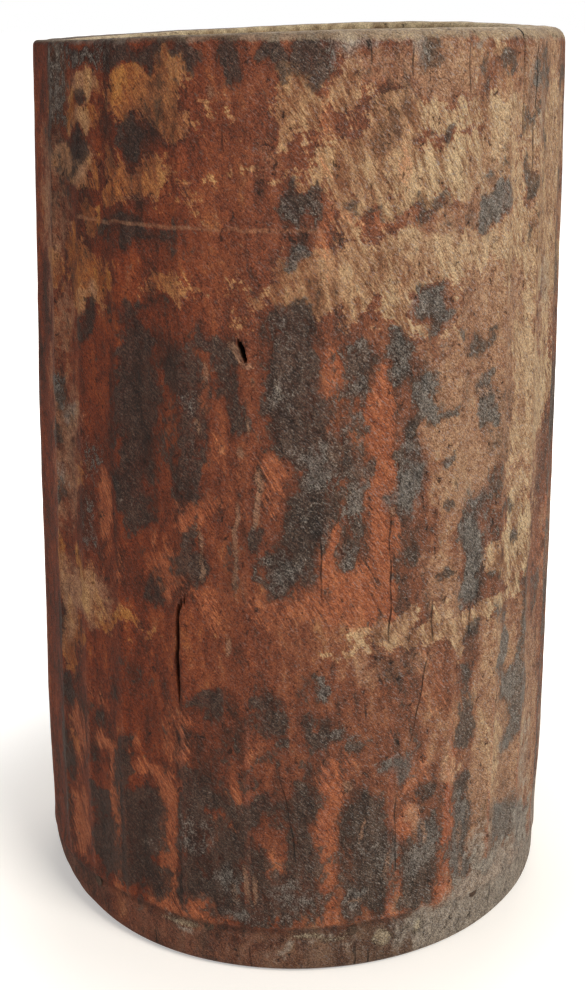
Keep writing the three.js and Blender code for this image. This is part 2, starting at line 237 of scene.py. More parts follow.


# Marks of age on the outside. Each mark is (angle, height, half width in degrees, half height,
# strength) and may end in a tilt, with heights in millimetres and a tilt in degrees clockwise.
# A strength over 1 fills the mark's middle more. The front ones follow the real pot, as read off it.

# Black-brown greasy patina that is left in the hollows
PATINA_MARKS = [
    # under the rim, from left to right
    (-58, 400, 4, 22, .8), (-63, 385, 2.5, 14, .6), (-48, 412, 6, 6, .8), (-36, 413, 5.5, 6, .8),
    (-24, 415, 5, 4, .6), (-13, 410, 2.2, 8, .9), (-5, 411, 2, 4, .8), (2, 413, 4.6, 8, 1),
    (-4, 407, 3, 4, .7), (-29, 414, 3, 4, .8), (-21, 412, 2, 7, .8), (1, 405, 3.5, 4, .9),
    (25, 410, 3, 5.4, .9), (12.5, 405.5, 1.4, 2, .7), (38, 407, 2, 5, .5), (45, 407, 3, 4, .6),
    (59, 405, 2.5, 14, .8), (-48, 393, 3.4, 4.4, 1), (-49, 375, 3.2, 8, .8), (-33, 380, 4.4, 4.8, .95),
    (-56, 358, 5, 13, .5), (-38, 386, 4, 3, .5), (-23, 396, 4, 4, .3),
    # between the worn bands
    (28.5, 381, 2.2, 3.4, 1), (13, 355, 6, 2.6, .45), (45, 366, 2, 2.6, .5), (55, 361, 2.8, 4.4, .9),
    (52.5, 385, 1.5, 7, .7), (60.5, 375, 1.4, 18, .6), (0, 355, 3.6, 8, 1), (0, 337.5, 3.4, 5.4, 1),
    (26, 355, 5.4, 3.6, .75), (42.4, 353, 3.8, 6.6, 1.6), (60, 345, 2.5, 3.5, .4),
    (-36, 342, 9, 6, .7), (-29, 344, 5, 4, .5), (-37, 309, 3.4, 4.4, .8), (-47, 299, 3.4, 10, .8),
    (-34, 298, 4, 10, .9), (-29, 312, 4.4, 2.6, .6), (-17, 299, 5, 5.4, .8), (-25, 293, 3, 5, .7),
    (-9, 321, 1.6, 4.4, .5), (-40, 318, 5, 8, .35), (24.5, 322, 2.8, 3.4, .85), (26.8, 312, 2.2, 7, 1),
    (29.5, 316, 1.8, 4.4, .7), (-21, 340, 5, 8, .3), (33, 344, 8, 4, .4), (56, 340, 3, 5, .4),
    (10, 301, 2.6, 4, .8), (19, 299, 3, 7, .9), (40, 298, 4, 5, .7), (-1, 302, 4.4, 14, 1),
    (26, 303, 2, 6, .5), (33, 300, 2, 3, .4), (10.5, 292, 3.6, 6, .9), (47, 292, 2, 5, .4),
    # the middle, left
    (-59, 266, 2.8, 9, .8), (-60, 244, 2.8, 5.4, .9), (-59, 217, 3, 4.4, .7), (-33, 280, 4.4, 12, 1),
    (-33, 255, 4.4, 22, 1), (-34.5, 226, 3.4, 19, 1), (-22, 284, 3.2, 9, .9), (-20, 272, 4.2, 7, .8),
    (-21, 260, 3.2, 8, .8), (-21, 242, 3.2, 12, .8), (-14, 285, 2.8, 9, .8), (-11.5, 272, 2, 10, .7),
    (-22, 206, 2.6, 16, .9), (-29, 187, 2.6, 7.4, .9), (-35, 184, 2, 6, .4), (-2, 275, 4.4, 17, 1),
    (-8, 222, 2, 8, .8), (-3.5, 200, 4.4, 9.4, 1), (-13, 203, 1.8, 12, .6), (-1, 217, 2.4, 6, .6),
    (-47.5, 212, 2.4, 16, .5), (-45, 243, 5, 10, .4), (-26, 262, 2, 16, .4), (-38, 268, 2.5, 14, .5),
    (-16, 228, 2, 8, .3), (-54, 292, 5, 7, .3),
    # the middle, right
    (1.6, 283, 2.8, 12, 1), (11.6, 275, 2.8, 13, 1), (3, 262, 5.4, 15, 1.1), (10, 251, 3.8, 7.4, 1),
    (3, 240, 3.4, 14, 1.1), (11, 236, 3.2, 9, 1), (4, 223, 2.4, 7, .8), (1, 208, 2.6, 12, .9),
    (10.5, 211, 2.8, 11, 1), (6, 185, 1.7, 4.4, .5), (3.5, 196, 1.2, 7, .6), (14, 178, 1, 2, .7),
    (20, 286, 2.2, 6, .9), (25.5, 277, 3.2, 8, 1, -15), (30.5, 269, 3.4, 3, .7, -30),
    (23, 263, 2, 6, .9), (24, 254, 1, 2, .7), (20, 248, 1.2, 7, .8), (21.6, 234, 2.6, 9, 1),
    (22.5, 207, 2.6, 7, .6), (19, 225, 1, 10, .5), (19, 195, .7, 14, .6), (29.8, 243, .9, 6.4, 1, 38),
    (31, 226, 1, 5, .7, 10), (40.5, 271, 3.4, 5.4, 1.1), (42, 262, 2.2, 6, 1.1),
    (41.5, 281, 2.6, 3, .8), (39, 220, 3.4, 7, .7), (44, 228, 2.4, 8, .6), (37.5, 209, 3.4, 6, 1),
    (38, 199, 2.6, 9, 1.1), (37.5, 185, 2.6, 7, 1.1), (49, 217, 3, 3.4, .8), (44.5, 209, 1.4, 7, .6),
    (32, 194, 3.4, 1.7, 1), (43.5, 184, 3, 4, .5), (40, 160, 2.4, 5, 1), (52.5, 198, 2.2, 5, .7),
    (48, 164, 3.4, 4.4, .6), (57.5, 170, 1.6, 12, .7), (63, 166, 2.4, 16, .6), (30, 213, 1, 6, .4),
    (34, 238, 1, 5, .3), (64, 225, 3, 18, .4), (27.5, 183, 1, 5, .5),
    # the lower third, left
    (-61.5, 152, 2.4, 9, .8), (-59, 115, 3.2, 7, .8), (-61, 85, 3.4, 16, .8), (-60, 50, 3.4, 14, .7),
    (-39.5, 130, 2, 7, .7), (-51, 115, 3.4, 6, .5), (-45, 112, 1.8, 5, .6), (-47.5, 93, 2.2, 4.6, .5),
    (-46, 72, 3.6, 8, 1), (-45, 48, 3.7, 15, 1.1), (-49.5, 48, 1.7, 7, .5), (-38, 108, 2.6, 6, 1),
    (-39, 92, 2.2, 9, 1), (-37, 75, 3.4, 11, 1), (-31, 72, 3.2, 15, .8), (-37, 55, 3, 9, .8),
    (-36, 38, 5, 9, 1.3), (-30, 38, 2.9, 10, 1.1), (-33, 62, 4, 11, .6), (-30, 125, 5, 14, .35),
    (-18, 137, 3, 8, .9), (-22.5, 96, 1.7, 11, .8), (-21, 79, 3.4, 16, 1), (-22, 52, 2.8, 13, .9),
    (-17, 100, 4, 14, .4), (-15.5, 65, 3.4, 11, .9), (-8.5, 101, 1.8, 2.6, .9),
    (-6.5, 144, 2.2, 5.4, .9), (-5, 129, 3.2, 9, 1), (-11, 78, 2.2, 11, .9), (-9, 62, 2.8, 11, .9),
    (-14, 48, 3.6, 8, .8), (-12, 33, 5.4, 7, 1), (-4, 49, 4.4, 6, 1.1), (-3, 36, 5.4, 9, 1.1),
    (-8, 85, 3.4, 7, .8), (-3, 82, 1.6, 8, .5), (-14, 87, 3.2, 6, .7), (-5, 110, 3, 6, .5),
    (-20, 36, 4, 8, .9), (-52, 90, 3, 8, .3), (-14, 120, 3, 8, .4), (-36, 146, 4, 8, .35),
    # the lower third, right
    (5, 144, 2, 5.6, 1), (1, 145, 2, 9, .6), (3, 126, 2.2, 6, .9), (7.5, 124, 4, 5.6, .9),
    (12.5, 117, 1.4, 3.4, .8), (3, 111, 1.4, 6, .7), (21, 106, 3.2, 6, .7), (24.5, 118, 1.2, 10, .6),
    (1.5, 86, 2.8, 15, 1.1), (2, 66, 3, 8, .7), (2, 48, 4.2, 15, 1.3), (8.5, 82, 1.2, 4, .5),
    (13.4, 85, 3.8, 7, .6), (15, 66, 5, 15, 1), (14.5, 42, 5.4, 14, 1.1), (15.5, 89, 1.8, 5, .8),
    (10.5, 36, 2.4, 4.4, .7), (28.5, 89, 2.6, 8, .9), (28.8, 67, 1.8, 7, .7), (27.2, 53, 5, 8.6, 1.1),
    (27.6, 40, 3.8, 9, 1.1), (26, 31, 3.4, 5, .9), (36.5, 142, 2.1, 4.8, 1), (37.5, 117, 2.6, 9, 1),
    (38, 130, 4, 8, .5), (37.4, 84, 2.8, 6, .8), (37, 67, 3.7, 11, 1.1), (37.3, 45, 3, 15, 1.1),
    (49, 148, 1.8, 11, .8), (53, 130, 4.6, 10, 1.1), (56, 118, 2.8, 10, 1.1), (55, 104, 4.2, 7, .7),
    (52.5, 96, 3.8, 6, .8), (57, 150, 1.8, 11, .7), (53, 50, 4.8, 11, 1.1), (44.5, 38, 2.2, 4.4, .9),
    (48, 33, 3.4, 6, .8), (61.6, 40, 3.4, 12, .9), (64, 30, 3, 8, .8), (51.5, 70, 2, 4, .6),
    (21, 130, 1, 12, .4), (13, 143, 2, 8, .3),
]

# Blue-grey bloom on the patina, from dust and old fat
BLOOM_MARKS = [
    (42, 352.5, 4.4, 7, 1.4), (25, 318, 4, 7, .6), (29, 315, 2.4, 6, .7), (9, 415, 3.4, 5, .9),
    (12, 418, 4, 3, 1), (22.8, 414, 1.4, 7, 1), (35, 418, 2.4, 2, 1), (0, 352, 3, 5, .5),
    (0, 337, 3, 5, .8), (-47, 411, 7, 7, .5), (-58, 398, 4, 20, .5), (-60, 270, 3, 7, .6),
    (-55, 258, 4, 4, .7), (-59, 224, 3.4, 6, .6), (-46, 242, 5, 10, .4), (-47, 210, 2.4, 16, .45),
    (-36, 225, 3, 12, .2), (-21, 272, 3, 4, .5), (-3, 280, 3, 8, .4), (4, 247, 3.4, 9, .9),
    (11.5, 274, 3, 11, .5), (11, 234, 3, 9, .7), (10.5, 208, 2.6, 9, .6), (4, 223, 2, 6, .4),
    (26, 277, 3, 7, 1), (23.5, 253, 2, 4, 1), (21.8, 234, 3, 10, 1), (18.5, 230, 1.2, 4, 1),
    (30, 269, 3, 3, .5), (30, 243, 1, 5, .7), (40, 272, 3.4, 5, 1.3), (42, 262, 2.4, 6, 1.1),
    (41, 281, 2.4, 3, .5), (39, 222, 5, 9, .6), (38, 209, 3.6, 4, 1.1), (38, 197, 3, 8, .9),
    (37.5, 184, 2.6, 7, 1.1), (49, 216, 3, 3, .4), (-3.5, 201, 4, 7, .6), (21, 106, 3, 6, .9),
    (5, 144, 2, 5, .9), (8, 124, 4, 5, .6), (53, 131, 4.4, 9, 1), (56, 118, 2.8, 10, 1.2),
    (52, 96, 4, 6, 1), (56, 104, 4, 6, .6), (51, 52, 5.6, 12, 1), (44, 38, 2.4, 4, 1.1),
    (37, 67, 3.4, 10, .8), (37.5, 43, 2.4, 10, 1), (27, 53, 4.6, 7, .6), (27.5, 66, 2, 7, 1),
    (15, 66, 4.6, 10, .4), (19, 60, 1.4, 8, .8), (11, 37, 2.4, 3, .9), (3, 45, 3.4, 9, .4),
    (-2, 38, 4, 8, .55), (-13, 47, 3.4, 7, .65), (-11, 31, 4, 5, .6), (-21, 70, 3, 9, .5),
    (-31, 62, 2, 4, .4), (63, 312, 4, 12, .6), (57, 395, 4, 22, .6), (49, 148, 2, 11, .8),
    (57, 148, 2, 11, .6), (48, 164, 3, 4, .6), (53, 200, 2, 6, .3), (60, 40, 5, 12, .7),
    (20, 288, 2, 6, .7), (19, 299, 2.6, 7, .6), (10, 300, 2.6, 8, .5), (-2, 303, 3, 8, .4),
]

# Bare fibrous wood, tan, where straps rubbed the ochre away
WORN_MARKS = [
    # upper band, right of the front arris
    (13, 370, 8, 12, 1.1), (10, 366, 4, 8, .9), (27, 366.5, 8.4, 10, 1.1), (42, 374, 7, 14, .7),
    (36, 368, 5, 9, .5), (43, 390, 7, 4.6, 1.1), (27, 388, 6, 4.4, 1.1), (18, 391, 4, 5.6, 1.3),
    (8, 366, 3, 8, 1.2), (8.6, 404, 3, 5, 1.1), (19, 394, .8, 7, .8), (9, 400, 2.2, 6, .9),
    (35.4, 397, 1, 7, .7), (55, 374, 4, 16, .6), (64.5, 374, 3.4, 24, 1.4), (64, 330, 5, 14, 1.1),
    (65, 352, 4, 16, 1.5), (48, 358, 2.6, 5, 1), (64, 268, 4, 18, 1.2), (70, 380, 4, 20, .8),
    (.6, 392, 3, 11, 1.1), (-1.5, 397, 2.4, 9, 1), (-1, 366, 4, 2.4, .5), (21, 361, 4, 5, .5),
    (59, 361, 2, 8, .6), (43, 413, 1.6, 3, .9), (18, 385, 9, 10, .25), (34, 388, 6, 4, .2),
    # lower band, right of the front arris
    (8.5, 347, 2.2, 4.4, .9), (21, 343, 4.4, 4.4, .9), (25, 332, 6.5, 6, 1.4),
    (33, 332.5, 7.4, 4.4, 1.2), (42, 335, 5.4, 5, 1.1), (50, 333, 5, 8, .8), (60, 326, 7, 9, 1),
    (10, 327, 4.4, 12, 1.1), (16, 326, 5.4, 12, 1), (14, 321.5, 6.4, 5.4, 1.1),
    (19.5, 315, 2, 9, .8, -25), (22, 306, 1.6, 7, .7, -25), (0, 326, 5, 11, 1.1),
    (-4, 319.4, 3.8, 3.4, 1.3), (5, 321, 3.4, 7, 1), (37, 341, 8, 2.4, .7), (30, 300, 2, 6, .5, -25),
    (35, 322, 3, 5, .5, -30), (66, 318, 5, 12, .7), (54, 347, 6, 5, 1.2),
    # upper left
    (-47.6, 399.4, 3.8, 3.2, 1.4), (-39, 398, 3.4, 1.2, .5), (-29, 404, 3, 4, 1.1),
    (-33, 404, 3, 3.6, 1), (-31, 395, 7.2, 8.4, 1.1), (-25, 406, 3, 6, 1.1), (-25, 391, 3, 6, 1.2),
    (-23, 386, 3.2, 5, .9), (-14, 390, 4, 4, .3), (-51.8, 390, 1.8, 7, 1.2), (-48, 385, 4.2, 3, 1.4),
    (-43, 388, 1.7, 5, .8), (-57.5, 366, 3.4, 4.4, 1.3), (-50.5, 368, 3.9, 6, 1.5),
    (-45, 366, 2.6, 4.6, .9), (-33, 366, 7, 6.6, .85), (-39, 355.5, 2.2, 3.8, .9),
    (-64, 392, 2.4, 6, .6), (-12, 372, 7, 8, .1), (-21, 355, 2, 8, .55, -12), (-8, 364, 9, 1.3, .5),
    (-18, 363, 4, 1.2, .3),
    # patch between the bands
    (-45, 346, 2.3, 3, 1),
    # lower left
    (-49.5, 326, 4, 9, 1), (-47, 315, 5.4, 7, 1.2), (-60, 321, 4.6, 3.4, 1),
    (-57.5, 310.6, 2.3, 2.2, .9), (-41, 322, 3.2, 6, .6), (-27, 322, 3.4, 6, .8), (-22, 321, 3, 5, .4),
    (-17, 319, 5, 2.4, .5), (-12, 322, 4, 3, .2), (-52, 336, 2, 5, .7), (-10, 308, 3, 8, .35, -20),
    # upright strip on the right
    (54, 300, 3.6, 22, .6), (54, 272, 3.8, 20, 1.1), (57, 250, 4.6, 14, 1), (51, 243, 2.4, 8, .7),
    (48.5, 240, 1.6, 9, .8), (51.5, 217, 2.6, 9, 1.2), (50, 208, 2.2, 6, .9), (50, 198, 2.2, 7, 1),
    (55.5, 205, 2.6, 9, .9), (53, 212, 3, 3.4, .9), (51, 191, 3.6, 6, 1.4), (53, 180, 3, 9, 1.3),
    (45.5, 193, 3.4, 8, 1.3), (55.5, 192, 2.6, 8, 1.2), (62, 265, 4, 13, .9), (64, 300, 4, 18, .5),
    (58, 225, 3, 8, .6), (61, 208, 4, 9, .4),
    # middle band, curving up into the strip
    (48, 171, 4.4, 3.4, 1, -20), (44, 168, 4.4, 3, 1), (36, 167, 4, 6, 1.3), (33, 165, 3.6, 5, 1.1),
    (24, 171, 5.2, 5.6, 1.5), (27, 169, 3, 5, .8), (12, 173, 2.7, 1.7, .8), (8, 163.5, 5.4, 1.7, .8),
    (14, 168, 6.4, 4, .4), (18, 171, 3, 5, .7), (-16, 166, 4, 5, .2), (-39, 166, 3.8, 4.2, 1),
    (-31, 165, 5, 3, .4), (30, 180, 2, 8, .4), (36, 158, 2.2, 5, .9),
    # curving strip on the left
    (-60, 184, 1.8, 12, 1.3), (-58.5, 168, 1.8, 12, 1.3), (-52, 187, 2.2, 7, 1.2, -12),
    (-48.5, 176, 2.4, 8, 1.3, -14), (-45.5, 170, 2.2, 5, 1), (-57.5, 152, 1.8, 14, 1.2),
    (-56.5, 136, 1.6, 10, 1.1), (-53, 150, 1.8, 9, .8), (-56, 89, 1.8, 3, 1.4), (-50, 231, 2.4, 7, .5),
    (-56, 256, 3.4, 5, .5), (-57, 100, 1, 12, .4),
    # foot of the flutes on the right
    (48, 110, 4.4, 8, .4), (47.6, 88, 2, 22, .75), (47.4, 63, 2, 9, .8), (60, 138, 1.4, 18, .2),
    (34.3, 97, 1.2, 12, .9), (60, 92, 3, 14, .5),
]

# Half-worn ochre that has gone pale and dusty, mostly on the side that the sun reached
FADED_MARKS = [
    (34, 262, 8, 22, .8), (35, 236, 5, 14, .7), (32, 222, 3, 12, .4), (28, 254, 4, 24, .3),
    (41, 312, 9, 14, .8), (50, 312, 6, 14, .7), (30, 405, 8, 12, .7), (47, 402, 9, 14, .4),
    (14, 408, 7, 8, .45), (57, 250, 7, 40, .7), (50, 285, 7, 20, .8), (52, 110, 11, 50, .7),
    (42, 30, 9, 12, .8), (62, 76, 8, 50, .6), (32, 335, 16, 12, .6), (70, 350, 12, 60, .9),
    (31, 120, 5, 22, .3), (41, 150, 5, 20, .15), (30, 190, 5, 20, .5), (-58, 392, 4, 20, .4),
    (-48, 399, 4.4, 4, .9), (-48, 385, 4.4, 3.4, .9), (-50, 368, 5, 7, 1), (-57.5, 366, 4, 6, 1),
    (-50, 174, 8, 12, .7), (-57.5, 160, 4, 20, .7), (22, 30, 1.6, 8, .9), (24.5, 72, 2, 12, .8),
    (34, 98, 1.6, 16, 1), (-46, 312, 4, 5, .7), (48, 372, 12, 18, .7), (33, 180, 2.6, 14, .9),
    (20, 155, 8, 9, .6), (-5, 372, 3, 12, .3), (-62, 330, 7, 60, .5), (-56, 235, 6, 34, .6),
    (40, 350, 14, 14, .5), (43, 70, 4, 34, .6), (-57, 345, 4, 12, .4), (-56, 255, 5, 8, .4),
    (60, 395, 8, 22, .8), (44, 255, 4, 26, .5), (-53, 300, 5, 10, .3), (8, 350, 6, 6, .2),
    (26, 300, 8, 12, .3), (50, 60, 8, 36, .9), (58, 104, 8, 40, .65), (46, 148, 4, 20, .3),
    (35, 285, 9, 14, .6), (45, 245, 6, 20, .6), (24, 405, 8, 10, .5), (62, 400, 8, 20, .9),
]

# Pale grey dust and scuffing round the foot
DUST_MARKS = [
    (26, 14, 5, 8, .8), (34, 12, 6, 12, 1), (44, 14, 8, 16, 1), (56, 16, 9, 20, 1),
    (68, 18, 10, 20, .4), (40, 26, 4, 7, .8), (48, 28, 5, 9, .7), (60, 24, 8, 10, .45),
    (42, 42, 2, 13, .8), (37, 24, 3, 5, .7), (12, 16, 6, 3, .5), (-2, 14, 6, 3, .4),
    (-24, 21, 4, 2.4, .6), (46, 60, 2, 20, .3), (62, 70, 5, 30, .5), (80, 20, 10, 20, .8),
    (84, 60, 5, 40, .5), (100, 16, 12, 14, .6), (130, 14, 10, 10, .5), (172, 12, 12, 12, .6),
    (215, 12, 10, 9, .5), (250, 14, 9, 10, .4), (10, 418, 5, 3, .6), (24, 417, 4, 3, .6),
    (35, 418, 3, 2.4, .6), (-58, 412, 4, 6, .3),
]

# Strong red ochre on the arrises and in a few flutes
OCHRE_MARKS = [
    (4.9, 368, 2.1, 46, .36), (4.6, 336, 1.8, 9, .35), (12, 352, 7, 5, .4), (7, 284, 2.2, 14, 1.3),
    (8, 262, 3, 6, .9), (16, 268, 3, 22, .9), (14, 250, 3, 16, .9), (17, 225, 3, 22, 1),
    (7, 213, 2.2, 13, 1.1), (8, 190, 8, 12, .8), (16, 186, 4, 11, .9), (-18, 277, 1.4, 8, .8),
    (-9, 280, 1.4, 12, .2), (-15, 256, 4, 10, .3), (-12, 240, 3, 12, .3), (-20, 226, 5, 7, .7),
    (-42, 222, 2.2, 11, .9), (-26, 195, 5, 11, .7), (-40, 195, 5, 10, .3), (-5, 243, 3, 11, .7),
    (-5, 184, 6, 10, .35), (-62, 240, 4, 50, .4), (-17, 185, 4, 14, .5), (-40.9, 62, 1.5, 42, 1.1),
    (-33, 98, 4, 7, .8), (-27, 80, 2.6, 20, .9), (-27, 50, 2.2, 22, 1.1), (-28, 27, 4.4, 4.4, .8),
    (-55, 50, 4.4, 18, .9), (-54, 95, 4, 20, .6), (-8, 120, 3, 9, .4), (-12, 95, 3, 9, .6),
    (-14.5, 75.4, 3.4, 1.7, 1.1), (-5, 76, 2.6, 6, .4), (-4, 58, 2.2, 7, .7), (-18.5, 28, 6.4, 3.8, 1),
    (-4, 92, 2, 6, .3), (-17, 68, 1.4, 3.4, .9), (-25, 118, 4, 16, .5), (6.6, 80, 2.4, 21, 1.2),
    (6.6, 50, 1.7, 17, 1.1), (7, 33, 2.8, 8, 1), (21.2, 40, 1.7, 19, 1.2), (22, 27, 3.2, 5, 1),
    (33.5, 74, 1.7, 40, 1.1), (33, 32, 3.2, 9, 1), (23, 72, 2.6, 9, 1), (30, 138, 4.4, 12, .4),
    (15, 124, 6, 12, .25), (25, 100, 4, 16, .5), (8, 105, 4, 8, .4), (11, 55, 1.4, 12, .6),
    (20, 152, 8, 8, .3), (-44, 100, 2.6, 6, .7), (-48, 125, 5, 12, .4), (64, 184, 4, 12, .4),
    (20, 318, 1, 6, .4), (-3, 312, 2, 5, .5), (32, 60, 1.6, 10, .7), (46, 405, 4, 6, .4),
    (15, 405, 5, 9, .3), (20, 369, 1.6, 14, .5), (45.5, 351, 2.4, 8, .7),
]

# Pale dry streaks and scrapes, some of them painted highlights along the raised edges of flakes
STREAK_AND_HIGHLIGHT_MARKS = [
    (-19.4, 264, 0.45, 3.6, 1.1, -25), (-11, 254, 0.78, 2.4, 1, -50), (-19, 214, 0.48, 6, .8, -8),
    (-18.8, 200, 0.48, 6, .8), (-7.3, 236, 0.54, 11, 1), (-7.9, 225, 0.48, 4, .8),
    (-11.6, 222, 0.48, 10, .8), (-11.9, 202, 0.54, 12, .6), (-10.2, 190, 0.48, 6, .5, -18),
    (-9.7, 49, 0.48, 9, 1.1), (-8.3, 45, 0.45, 8, .8), (-12.5, 42, 0.9, 7, .5),
    (14, 74, 0.45, 7, .9, 20), (27.7, 67, 0.54, 6.4, 1.1, -10), (10.2, 97.6, 0.8, 3, 1.5, -20),
    (19, 56, 0.6, 7, .7), (-18, 287, 0.6, 5, .8), (-9.2, 265, 0.45, 4, .8, -15),
    (-47, 236, 0.96, 4, .5), (37, 58, 0.84, 10, .6), (39, 66, 0.6, 6, .6), (38, 41, 0.84, 6, .8),
    (-13.4, 165, 0.54, 5, .9), (19, 227, 0.84, 2.2, .9), (-9.3, 290.8, 1.1, 1.1, 1.4),
    (-11.7, 296, 0.6, 4.4, 1.4, -30), (-8.2, 283, 0.6, 4, .4), (-26, 21.6, 3, 1.6, .8),
    (-22.5, 20.6, 2.4, 2, .8), (18.5, 15, 1.8, 3.6, 1, 30), (27, 17, 0.96, 4, .8), (3, 21, 4, 1.3, .7),
    (8, 17, 3, 1.6, .6), (12, 20, 2, 1.4, .6), (-7, 363, 6, 1.2, .5), (-34, 356, 4, 1, .5),
    (-54, 338, 0.84, 12, .4, -10), (-59, 392, 0.6, 14, .4), (52.5, 392, 0.54, 24, .5),
    (-33.4, 311, 0.48, 3, .4), (-24, 303, 2, 1, .7), (40, 273, 2.6, 3, .8), (13, 37, 2, 1.5, .7),
    (44, 38, 0.96, 2.4, .8), (-16.5, 398, 0.54, 3, .7), (27, 362, 0.6, 3, .4), (33, 382, 0.6, 6, .4),
]

# Hairline drying cracks: (angle, lowest height, highest height), which may end in a drift, the
# degrees by which the upper end lies further to the right than the lower end
HAIRLINES = [
    (12.5, 0, 18), (15.5, 0, 12), (-1.4, 59, 108, -3.9), (20.7, 50, 92), (18.4, 166, 228),
    (54.5, 362, 384), (55.5, 388, 418), (21.5, 404, 417), (13, 408, 419), (-31, 0, 14), (-9, 0, 16),
    (48, 8, 24), (-45, 2, 17), (25.4, 114, 157, 4.3), (-14.5, 376, 388), (34, 396, 420),
    (-23.2, 180, 187), (28, 162, 185), (14.1, 130, 140), (4.5, 188, 218), (38, 158, 184),
]

# Deep openings that are cut into the surface: (angle, lowest, highest, width, depth, tilt, bow).
# The tilt in degrees leans the upper end to the left. The bow is how far in millimetres the upper
# end bends to the right, and the lower end bends a quarter as far.
DRYING_CRACK = (-24.1, 134.5, 186.5, 1.8, 7, 0, 4.2)
RIM_CRACK = (50.8, 372, 470, 1.5, 6, 0, 0)
KNOT_SLIT = (-10.5, 292, 301.5, 2.6, 8, 27, 0)
CUTS = [DRYING_CRACK, RIM_CRACK, KNOT_SLIT]

# Bands that the harness rubbed bare behind: (height, half height)
HARNESS_BANDS = [(376, 15), (326, 11)]

# How outlines wander: (amount, size of the unevenness in millimetres, seed)
LOOSE_TURN = [(0.7, 8, 1), (0.4, 3.5, 2)]
LOOSE_RISE = [(2.6, 10, 3), (1.3, 4.5, 4)]
FIRM_TURN = [(0.25, 6, 5)]
BAND_EDGE = [(0.8, 5, 6)]
MOUTH_EDGE = [(0.5, 6, 7)]
WAX_LUMPS = [(0.1, 16, 21), (0.05, 6, 22)]

# Hairlines: how far to each side their field reaches and where it is lost, then how far from the
# middle the line is full and where it has faded out
HAIRLINE_REACH_MM = 2.0
HAIRLINE_LOST_MM = 2.8
HAIRLINE_CORE_MM = 0.15
HAIRLINE_EDGE_MM = 0.5

# Pale line scribed round the front: its height, how far from it the line is full, and where it has
# faded out, in metres as the material reads them, then its strength and the angles where it comes in
# and where it fades out
SCRIBED_HEIGHT = 0.3454
SCRIBED_CORE = 0.0004
SCRIBED_EDGE = 0.0011
SCRIBED_STRENGTH = 0.8
SCRIBED_START = (-56, -46)
SCRIBED_END = (2, 8)

# Where other fields come in and fade out, from the first number to the second: millimetres over the
# foot band or the rim, shares of the rim's rounding, hollowness of a flute, millimetres up the wall,
# or degrees from the front. An opening is full from a depth on, and the seam is a line with a reach.
OPENING_FULL_MM = 3.0
BAND_ENDS_MM = (-1, 1.5)
SEAM_OVER_BAND_MM = 0.4
SEAM_REACH_MM = 1.5
RIM_EDGE_STARTS = (-1.1, -0.3)
RIM_FACE_STARTS_MM = (-1.2, -0.1)
MOUTH_STARTS_MM = (-5.0, -2.6)
ARRIS_ENDS = (0.04, 0.3)
ARRIS_TOP_MM = (90, 170)
LIGHT_AND_BLEACH_STARTS = (-45, 45)
LIGHT_AND_BLEACH_ENDS = (100, 170)

# Marks behind: their seed, and the arris that they start from
BACK_SEED = 11
BACK_FIRST_ARRIS = 11


def waver(angle, height, size_mm, seed):
    """A smooth seamless unevenness over the trunk, about size_mm across, with a spread of 1."""
    rng = np.random.default_rng(seed)
    across = WIDEST_RADIUS_MM * np.sin(np.radians(angle))
    deep = -WIDEST_RADIUS_MM * np.cos(np.radians(angle))
    total = np.zeros(angle.shape)
    waves = 24
    for _ in range(waves):
        heading = rng.normal(size=3)
        heading /= np.linalg.norm(heading)
        length = size_mm * rng.uniform(1.3, 3.2)
        way = across * heading[0] + deep * heading[1] + height * heading[2]
        total += np.cos(way * 2 * np.pi / length + rng.uniform(0, 2 * np.pi))
    return total / math.sqrt(waves / 2)


def wandered(values, angle, height, wanders):
    """Values moved to and fro by several wavers, each given as its amount, size and seed."""
    for amount, size_mm, seed in wanders:
        values = values + amount * waver(angle, height, size_mm, seed)
    return values


def mark_field(angle, height, marks):
    """How far each place lies inside the marks: 1 well inside, 0.5 on an outline, 0 well outside."""
    open_share = np.ones(angle.shape)
    for centre, middle, half_width, half_height, strength, *tilt in marks:
        turn = math.radians(tilt[0] if tilt else 0)
        sideways = turn_between(angle, centre) * np.pi / 180 * WIDEST_RADIUS_MM
        upwards = height - middle
        along = upwards * math.cos(turn) + sideways * math.sin(turn)
        across = sideways * math.cos(turn) - upwards * math.sin(turn)
        half_width_mm = math.radians(half_width) * WIDEST_RADIUS_MM
        away = np.abs(across / half_width_mm) ** 3 + np.abs(along / half_height) ** 3
        # 0.69 leaves half of a mark on its outline, and 30 is far outside it
        near = np.exp(-0.69 * np.minimum(away, 30))
        open_share = open_share * (1 - min(strength, 1) * near) * (1 - max(strength - 1, 0) * near)
    return 1 - open_share


